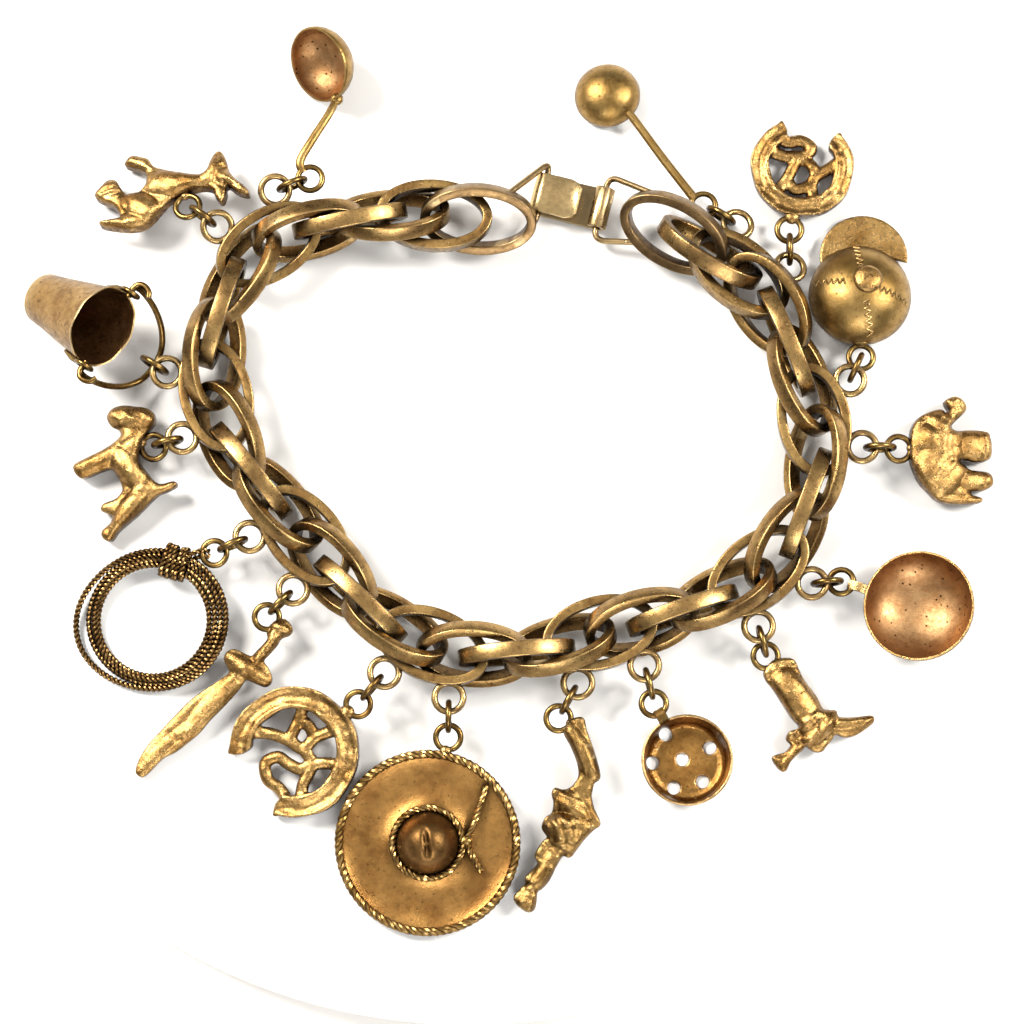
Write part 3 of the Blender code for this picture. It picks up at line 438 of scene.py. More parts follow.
def node(tree, kind, settings=None, **inputs):
    """Adds one node. An input is named, or is i and its number, and is a value or a socket."""
    made = tree.nodes.new("ShaderNode" + kind)
    for key, value in (settings or {}).items():
        setattr(made, key, value)
    for key, value in inputs.items():
        numbered = key[0] == "i" and key[1:].isdigit()
        socket = made.inputs[int(key[1:]) if numbered else key.replace("_", " ")]
        if isinstance(value, bpy.types.NodeSocket):
            tree.links.new(value, socket)
        else:
            socket.default_value = value
    return made


def ramp(tree, factor, stops):
    """Turns a factor into colours, or into greys where the stops are numbers."""
    made = node(tree, "ValToRGB", Fac=factor)
    elements = made.color_ramp.elements
    while len(elements) < len(stops):
        elements.new(0.5)
    for element, (position, colour) in zip(elements, stops):
        element.position = position
        element.color = (colour, colour, colour, 1.0) if isinstance(colour, float) else colour
    return made.outputs[0]


def blend(tree, factor, under, over):
    """Lays one colour over another by a factor."""
    return node(tree, "Mix", {"data_type": "RGBA"}, i0=factor, i6=under, i7=over).outputs[2]


# How often each pattern comes in a millimetre. Tarnish lies in patches about 3 mm wide, with specks
# of about 0.6 mm, the hammer's dents and the pits are about a millimetre apart, and the mould's sand
# leaves a grain of about 0.2 mm. The real sand is finer, and is drawn this coarse so that it shows.
PATCHES = 0.3
SPECKS = 1.7
DENTS = 0.9
PITS = 1.1
SAND = 5.5
GRAIN_DEPTH = 0.1 * MM
DENT_DEPTH = 0.25 * MM
RUBBED_BRASS = "ECD09A"


def brass(
    name, light, dark, tarnish_and_shade, roughness, grain, pits, lumps=0.0, sides=0.5, hollow_shade=0.8, rubbed=0.0
):
    """Aged brass. `light` and `dark` are mottled together, and `tarnish_and_shade` is the colour of the pits,
    the recesses and the painted shade. `sides` is how much painted shade darkens the faces that don't lie
    uppermost, `hollow_shade` how much painted shade blackens the places shut in by other pieces, and `rubbed`
    how bright the edges are worn."""
    material = bpy.data.materials.new(name)
    material.use_nodes = True
    tree = material.node_tree
    shader = tree.nodes["Principled BSDF"]
    shader.inputs["Metallic"].default_value = 1.0
    tarnish_and_shade = linear(tarnish_and_shade)

    # Places in millimetres, and the patterns laid out in them.
    metres = node(tree, "TexCoord").outputs["Object"]
    place = node(tree, "VectorMath", {"operation": "SCALE"}, i0=metres, Scale=1000.0).outputs[0]
    patches = node(tree, "TexNoise", Vector=place, Scale=PATCHES, Detail=5.0, Roughness=0.65).outputs[0]
    specks = node(tree, "TexNoise", Vector=place, Scale=SPECKS, Detail=4.0, Roughness=0.7).outputs[0]
    sand = node(tree, "TexNoise", Vector=place, Scale=SAND, Detail=4.0, Roughness=0.7).outputs[0]
    dents = node(tree, "TexNoise", Vector=place, Scale=DENTS, Detail=2.0).outputs[0]
    cells = node(tree, "TexVoronoi", Vector=place, Scale=PITS).outputs["Distance"]

    # The mottled metal, darkened by painted shade where it looks aside.
    mottle = ramp(tree, patches, [(0.38, linear(light)), (0.62, linear(dark))])
    spots = ramp(tree, specks, [(0.55, 0.0), (0.68, 0.8)])
    mixed = blend(tree, spots, mottle, linear(dark))
    geometry = node(tree, "NewGeometry")
    upward = node(tree, "SeparateXYZ", Vector=geometry.outputs["Normal"]).outputs[2]
    aside = ramp(tree, upward, [(0.2, sides), (0.97, 0.0)])
    uneven = ramp(tree, specks, [(0.3, 0.5), (0.62, 1.0)])
    side_shade = node(tree, "Math", {"operation": "MULTIPLY"}, i0=aside, i1=uneven).outputs[0]
    with_side_shade = blend(tree, side_shade, mixed, tarnish_and_shade)

    # Tarnish in the pits, and painted shade in the places that are shut in by others.
    filled = ramp(tree, cells, [(0.09, min(1.0, pits)), (0.19, 0.0)])
    nearby = node(tree, "AmbientOcclusion", {"samples": 8}, Distance=3.2 * MM).outputs["AO"]
    enclosed_shade = ramp(tree, nearby, [(0.3, hollow_shade), (0.85, 0.0)])
    worn_and_shaded = blend(tree, enclosed_shade, blend(tree, filled, with_side_shade, tarnish_and_shade), tarnish_and_shade)

    # Worn edges. Thin wires and spun sheet go without, because Blender takes points less than a
    # third of a millimetre apart for one point when it looks for edges.
    if rubbed:
        point = geometry.outputs["Pointiness"]
        recess = ramp(tree, point, [(0.42, 1.0), (0.492, 0.0)])
        edge = ramp(tree, point, [(0.515, 0.0), (0.56, rubbed)])
        worn_and_shaded = blend(tree, edge, blend(tree, recess, worn_and_shaded, tarnish_and_shade), linear(RUBBED_BRASS))
    tree.links.new(worn_and_shaded, shader.inputs["Base Color"])

    # How it shines, and the grain, pits and dents that the light catches.
    rough = ramp(tree, specks, [(0.3, roughness - 0.07), (0.7, roughness + 0.12)])
    tree.links.new(rough, shader.inputs["Roughness"])
    bump = node(tree, "Bump", Height=sand, Strength=0.3 * grain, Distance=GRAIN_DEPTH).outputs[0]
    holes = ramp(tree, cells, [(0.05, 0.0), (0.13, 1.0)])
    bump = node(tree, "Bump", Height=holes, Strength=0.5 * pits, Distance=GRAIN_DEPTH, Normal=bump).outputs[0]
    bump = node(tree, "Bump", Height=dents, Strength=lumps, Distance=DENT_DEPTH, Normal=bump).outputs[0]
    tree.links.new(bump, shader.inputs["Normal"])
    return material


# Rolled band, golden where it is rubbed, with painted shade in black between the links.
LINK = brass("link_brass", "C49C5C", "8C6534", "1C0F05", 0.28, 0.8, 0.8, sides=1.0, hollow_shade=1.0, rubbed=0.3)
# The same band round the clasp, greyer where its plating has gone.
END_RING = brass(
    "end_ring_brass", "94744A", "664A2C", "1A1006", 0.32, 0.8, 0.6, sides=0.95, hollow_shade=1.0, rubbed=0.3
)
# Drawn wire, greenish, with painted shade on its flanks that sets the small rings off from the table.
WIRE = brass("wire_brass", "A8894F", "78592F", "1C1408", 0.29, 0.3, 0.1, sides=1.0, hollow_shade=1.0)
# Bent sheet, darker on the back plate and brighter on the tongue.
CLASP = brass("clasp_brass", "7A5830", "4E361E", "180E06", 0.30, 0.4, 0.3, sides=0.6, rubbed=0.4)
TONGUE = brass("tongue_brass", "C29A54", "9A7238", "38240F", 0.26, 0.3, 0.3, sides=0.5, rubbed=0.6)
# Sand-cast brass: broken highlights over a rough skin, with painted shade in brown on its sides.
FIGURE = brass(
    "figure_brass", "C8A062", "926B38", "2A1508", 0.26, 1.8, 0.5, lumps=0.2, sides=1.0, rubbed=0.15
)
DARK_FIGURE = brass(
    "dark_figure_brass", "AC8850", "74552B", "28190A", 0.30, 1.6, 0.5, lumps=0.3, sides=1.0, rubbed=0.3
)
PALE = brass("pale_brass", "C8A062", "926B38", "2A1508", 0.26, 1.6, 0.7, lumps=0.3, sides=1.0, rubbed=0.15)
# Beaten sheet, with soft dents that make the pail's light uneven.
PAIL = brass("pail_brass", "BE985C", "8E6A3A", "38230F", 0.34, 1.6, 0.8, lumps=0.4, sides=0.75, rubbed=0.5)
# Spun sheet with a satin face: olive on the cap and ladles, browner on the hat and its crown.
SHEET = brass("sheet_brass", "B4935A", "90703C", "3A2810", 0.34, 1.0, 0.6, lumps=0.06, sides=0.6)
HAT_SHEET = brass("hat_brass", "B8894C", "916635", "3A2410", 0.34, 1.0, 0.6, lumps=0.06, sides=0.6)
CROWN_BRASS = brass("crown_brass", "86643A", "684A28", "261708", 0.40, 0.8, 0.5, sides=0.4)
# The insides of bowls, which nothing rubs: coppery, matt and pitted.
COPPERY = brass("coppery_brass", "CAA070", "9E754C", "3C2412", 0.42, 0.9, 1.0, lumps=0.1, sides=0.3)
# The pail's inside is darker than its outside: painted shade inside the pail, over its pits.
INSIDE = brass("inside_brass", "A07850", "70502E", "2A180A", 0.40, 1.0, 0.8, lumps=0.2, sides=0.3)
INSIDE_GOLD = brass(
    "strainer_brass", "B8894A", "906430", "341F0D", 0.30, 1.2, 0.7, lumps=0.3, sides=0.75, rubbed=0.5
)
# Twisted wire, with painted shade in black between its strands. The lasso is darker than the hat's cord.
ROPE = brass("rope_brass", "AE8A56", "70522E", "120A05", 0.30, 0.2, 0.0, sides=1.0, hollow_shade=0.9)
GOLD_ROPE = brass("gold_rope_brass", "C09A60", "92703C", "221507", 0.31, 0.2, 0.0, sides=1.0)
print("materials", len(bpy.data.materials))

# %% [markdown]
# ## Where everything lies
#
# A chain and its charms lie where they fell, so no rule gives their places. They could be dropped
# with a simulation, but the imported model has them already, and the pieces must match it. So they are
# kept as two short tables: a row for each link, end rings first and last, and a row for each charm.

# %% Places
GRID = 0.1141
CHAIN_HEIGHT = 4.15
# Columns: across, along, heading and turn about its own length.
CHAIN = [
    (-3.64, 29.67, 176.5, -35.0), (-8.71, 30.04, 176.1, 7.0), (-13.55, 30.11, -176.2, 45.0),
    (-18.35, 29.44, -168.6, 83.0), (-23.06, 28.31, -165.8, -61.0), (-27.59, 26.68, -147.2, -15.0),
    (-30.83, 23.13, -121.9, 45.0), (-32.85, 18.74, -107.1, -90.0), (-33.72, 13.99, -95.1, -45.0),
    (-33.44, 9.18, -76.7, 0.0), (-31.95, 4.58, -66.8, 45.0), (-29.45, 0.45, -51.6, -90.0),
    (-26.32, -3.25, -50.5, -45.0), (-23.28, -7.02, -50.6, 0.0), (-20.15, -10.72, -50.3, 45.0),
    (-16.93, -14.33, -43.5, -90.0), (-13.08, -17.26, -32.6, -45.0), (-8.80, -19.50, -21.2, 0.0),
    (-4.08, -20.51, -3.5, 45.0), (0.75, -20.36, 5.3, -90.0), (5.50, -19.48, 16.2, -45.0),
    (10.15, -18.10, 14.8, 0.0), (14.84, -16.91, 14.7, 45.0), (19.49, -15.55, 19.1, -90.0),
    (23.95, -13.66, 26.8, -45.0), (28.04, -11.09, 38.9, 0.0), (31.29, -7.53, 55.8, 45.0),
    (33.56, -3.26, 69.0, -90.0), (34.70, 1.44, 83.8, -45.0), (34.53, 6.26, 99.7, 0.0),
    (33.22, 10.91, 109.9, 45.0), (31.43, 15.42, 112.2, -90.0), (29.36, 19.79, 122.8, -27.0),
    (26.08, 23.33, 140.0, 19.0), (22.79, 25.79, 147.3, 61.0), (18.78, 28.05, 150.7, -35.0),
]
# Columns: the jump ring's middle and heading, the middle of the charm's own ring, and the heading of
# the axis and the angle of the small tilt that lays the charm on the table.
CHARM_PLACES = {
    "deep_ladle": ((-24.95, 33.51, 5.05), 22, (-22.91, 34.34, 4.32), 164.2, 3.60),
    "fox": ((-35.10, 29.79, 5.13), 143, (-36.90, 31.12, 4.17), -148.5, 19.49),
    "terrier": ((-38.99, 3.87, 3.61), -167, (-40.61, 3.50, 2.43), -59.8, 7.16),
    "lasso": ((-31.45, -7.92, 3.87), -157, (-33.56, -8.81, 3.15), -47.6, 8.69),
    "dagger": ((-26.00, -14.57, 3.79), -135, (-27.56, -16.12, 2.98), -24.0, 6.04),
    "horseshoe_1": ((-15.59, -24.29, 4.10), -130, (-17.15, -26.15, 3.76), -51.5, 10.52),
    "sombrero": ((-6.96, -27.55, 3.87), -91, (-7.00, -29.85, 3.18), -5.7, 7.00),
    "revolver": ((6.59, -25.66, 3.92), -119, (5.45, -27.71, 3.34), 0.6, 6.05),
    "strainer": ((15.67, -23.82, 3.83), -76, (16.21, -26.02, 3.22), 26.8, 0.19),
    "boot": ((28.51, -18.99, 3.60), -75, (28.91, -20.51, 2.47), 37.3, 4.51),
    "saucepan": ((35.89, -12.24, 3.61), 6, (37.53, -12.06, 2.85), -104.0, 10.98),
    "elephant": ((42.02, 3.23, 3.79), 0, (44.21, 3.23, 2.90), 85.8, 9.01),
    "cap": ((39.39, 12.48, 3.60), 65, (40.06, 13.90, 2.38), 174.4, 8.07),
    "horseshoe_2": ((32.02, 26.49, 2.38), 90, (32.02, 28.87, 1.90), 170.2, 4.73),
    "small_ladle": ((24.21, 30.46, 2.38), 149, (22.16, 31.69, 1.99), -138.1, 1.42),
}


def chain_place(number):
    """Where a link lies, from its row of the table."""
    x, y, heading, turn = CHAIN[number]
    return put(x, y, CHAIN_HEIGHT) @ turn_z(heading) @ Matrix.Rotation(math.radians(turn), 4, "X")


def charm_place(name):
    """Where a charm lies: its own ring is the origin of its shapes."""
    _, _, middle, tilt_heading, tilt_angle = CHARM_PLACES[name]
    axis = Vector((*polar(1.0, tilt_heading), 0.0))
    return Matrix.Translation(middle) @ Matrix.Rotation(math.radians(tilt_angle), 4, axis)


def grid_at(ring_at, unit=GRID):
    """Gives the function from the photograph's grid to places measured from a charm's own ring."""

    def at(x, y, height=0.0):
        return ((x - ring_at[0]) * unit, (ring_at[1] - y) * unit, height)

    return at


def dress(thing, material, node_name, body="bracelet"):
    """Gives a piece its metal, hangs it on its body and hides the CAD node it dresses."""
    thing.data.materials.clear()
    thing.data.materials.append(material)
    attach(thing, body)
    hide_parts(node_name)


print("places", len(CHAIN), "links and rings,", len(CHARM_PLACES), "charms")

# %% [markdown]
# ## The chain
#
# Each link is an oval band of rolled brass, bent and soldered shut. Every fourth one carries two small
# eyes for the charms. A rectangle could be swept along a curve with Blender's bevel, but the links
# need rounded edges and a slightly crowned outside that catches the light, so the sections are laid
# round the oval one by one. All the links then share this one shape.

# %% Links
LINK_LENGTH = 13.3
LINK_WIDTH = 8.3
LINK_WALL = 1.08
LINK_DEPTH = 1.8
LINK_CORNER = 0.15
LINK_CROWN = 0.03
LINK_STEPS = 72
LINK_COUNT = 34
EYE_RADIUS = 1.625
EYE_WIRE = 0.75
EYE_AHEAD = 3.9
EYE_OUT = 4.86


def link_band():
    """Sections of the band all round the oval, each a rounded rectangle."""
    half_wall = LINK_WALL / 2
    half_depth = LINK_DEPTH / 2
    section = []
    for cx, cz, start in ((1, 1, 0), (-1, 1, 90), (-1, -1, 180), (1, -1, 270)):
        for step in range(4):
            x, z = polar(LINK_CORNER, start + 30 * step)
            section.append((cx * (half_wall - LINK_CORNER) + x, cz * (half_depth - LINK_CORNER) + z))
    rows = []
    for i in range(LINK_STEPS):
        angle = 2 * math.pi * i / LINK_STEPS
        row = []
        for out, z in section:
            bulge = LINK_CROWN * (1 - (z / half_depth) ** 2) if out > 0 else 0.0
            a = LINK_LENGTH / 2 - half_wall + out + bulge
            b = LINK_WIDTH / 2 - half_wall + out + bulge
            row.append((a * math.cos(angle), b * math.sin(angle), z))
        rows.append(row)
    return skin(rows, True)


BAND = link_band()
eyes = []
for side in (-1, 1):
    eyes.append(moved(ring(EYE_RADIUS, EYE_WIRE), put(side * EYE_AHEAD, -EYE_OUT)))
    eyes.append(blob((side * EYE_AHEAD * 0.98, -EYE_OUT + EYE_RADIUS + 0.1, 0.0), (0.75, 0.4, 0.45)))
eyed = joined([BAND, *eyes])
for number in range(1, LINK_COUNT + 1):
    has_eyes = number > 1 and number % 4 == 1
    link = solid(f"link_{number:02d}", [eyed if has_eyes else BAND])
    place_of(link, chain_place(number))
    dress(link, LINK, f"chain_link_{number:02d}")
print("links", LINK_COUNT)

# %% [markdown]
# ## Clasp and end rings
#
# Each end ring has a bent wire loop soldered on at two points. The clasp is one strip of sheet: a
# tongue folded over the left loop, a back plate, and a barrel with two pressed grooves round the
# right one. It could be modelled flat and bent with modifiers. Here its centre line is written down
# bent, as the clasp's maker would draw it, and the strip follows it.

# %% Clasp
# The four corners of each wire loop, from one solder point to the other.
LOOPS = [
    (-0.73, 26.90, 2.34), (2.77, 29.33, 1.80), (4.65, 36.90, 1.80), (-0.42, 32.07, 5.96),
    (17.37, 31.82, 5.96), (11.35, 35.23, 1.80), (9.46, 27.66, 1.80), (14.83, 27.30, 2.34),
]
CLASP_PLACE = put(3.71, 33.11, 1.8) @ turn_z(-14.0)
CLASP_SPAN = 6.9
CLASP_BEND = 0.9
CLASP_HALF_WIDTH = 2.4
LOOP_WIRE = 0.72
LOOP_BEND = 1.5


def bent(points, radius, steps=6):
    """A line of straights whose corners are rounded."""
    points = [np.array(p, float) for p in points]
    path = [points[0]]
    for before, corner, after in zip(points, points[1:], points[2:]):
        to_before = (before - corner) / np.linalg.norm(before - corner)
        to_after = (after - corner) / np.linalg.norm(after - corner)
        for step in range(steps + 1):
            t = step / steps
            start = corner + to_before * radius
            end = corner + to_after * radius
            path.append((1 - t) ** 2 * start + 2 * t * (1 - t) * corner + t**2 * end)
    path.append(points[-1])
    return np.array(path)


for name, number, corners in (
    ("end_ring_left", 0, LOOPS[:4]),
    ("end_ring_right", LINK_COUNT + 1, LOOPS[4:]),
):
    band = moved(BAND, chain_place(number))
    loop = tube(bent(corners, LOOP_BEND), LOOP_WIRE / 2, 12)
    dabs = [blob(corners[0], (0.6, 0.6, 0.5)), blob(corners[3], (0.6, 0.6, 0.5))]
    end_ring = solid(name + "_dressed", [band, loop, *dabs])
    dress(end_ring, END_RING, name)

fold = [polar(CLASP_BEND, a) for a in range(90, 271, 12)]
tongue = [(4.3, 0.6), (3.9, 0.66), (3.0, 0.72), (1.5, 0.84)]
barrel = []
for angle in range(-90, 165, 10):
    pressed = 0.16 if angle in (20, 30, 90, 100) else 0.0
    x, z = polar(CLASP_BEND - pressed, angle)
    barrel.append((CLASP_SPAN + x, z))
back = [(x, -CLASP_BEND) for x in (1.0, 3.0, 5.0)]
strip = [(x, 0.0, z) for x, z in tongue + fold]
widths = [1.5, 2.0, 2.3] + [CLASP_HALF_WIDTH * 0.94] * (len(strip) - 3)
front = ribbon(strip, (0, 1, 0), widths, 0.45)
rear = ribbon([(x, 0.0, z) for x, z in fold[-2:] + back + barrel], (0, 1, 0), CLASP_HALF_WIDTH, 0.46)
tongue_piece = place_of(solid("clasp_tongue", [front]), CLASP_PLACE)
dress(tongue_piece, TONGUE, "clasp_hook")
back_piece = place_of(solid("clasp_back", [rear]), CLASP_PLACE)
dress(back_piece, CLASP, "clasp_hook")
print("clasp and end rings", 4)

# %% [markdown]
# ## Rings of the charms
#
# A charm hangs by two rings of drawn wire. Its jump ring stands on edge through the eye of the link,
# and its own ring lies in the plane of the charm. Both are the same on every charm, so one function
# makes them, and `finish_charm` dresses a charm's forms and its rings together.

# %% Charm rings
JUMP_RADIUS = 1.6
OWN_RADIUS = 1.4
RING_WIRE = 0.68


def charm_rings(name):
    """The jump ring and the charm's own ring, in place."""
    middle, heading, _, _, _ = CHARM_PLACES[name]
    upright = Matrix.Translation(middle) @ turn_z(heading) @ Matrix.Rotation(math.radians(90), 4, "X")
    return [
        moved(ring(JUMP_RADIUS, RING_WIRE), upright),
        moved(ring(OWN_RADIUS, RING_WIRE), charm_place(name)),
    ]


def finish_charm(name, things, materials):
    """Puts a charm's parts in place, with its rings, as one dressed piece each."""
    for index, (thing, material) in enumerate(zip(things, materials)):
        place_of(thing, charm_place(name))
        thing.name = f"{name}_form_{index + 1}"
        dress(thing, material, name)
    rings = solid(name + "_rings", charm_rings(name))
    dress(rings, WIRE, name)


print("ring wire", RING_WIRE, "mm")

# %% [markdown]
# ## Cast figures
#
# Each figure is drawn on the photograph's grid: its outline, the swellings that make its body, and
# the lines cut into or raised on its face. The real ones are small castings, flat behind. Joined
# balls would look like dough, so a slab with the true outline is raised and carved as a mould is.

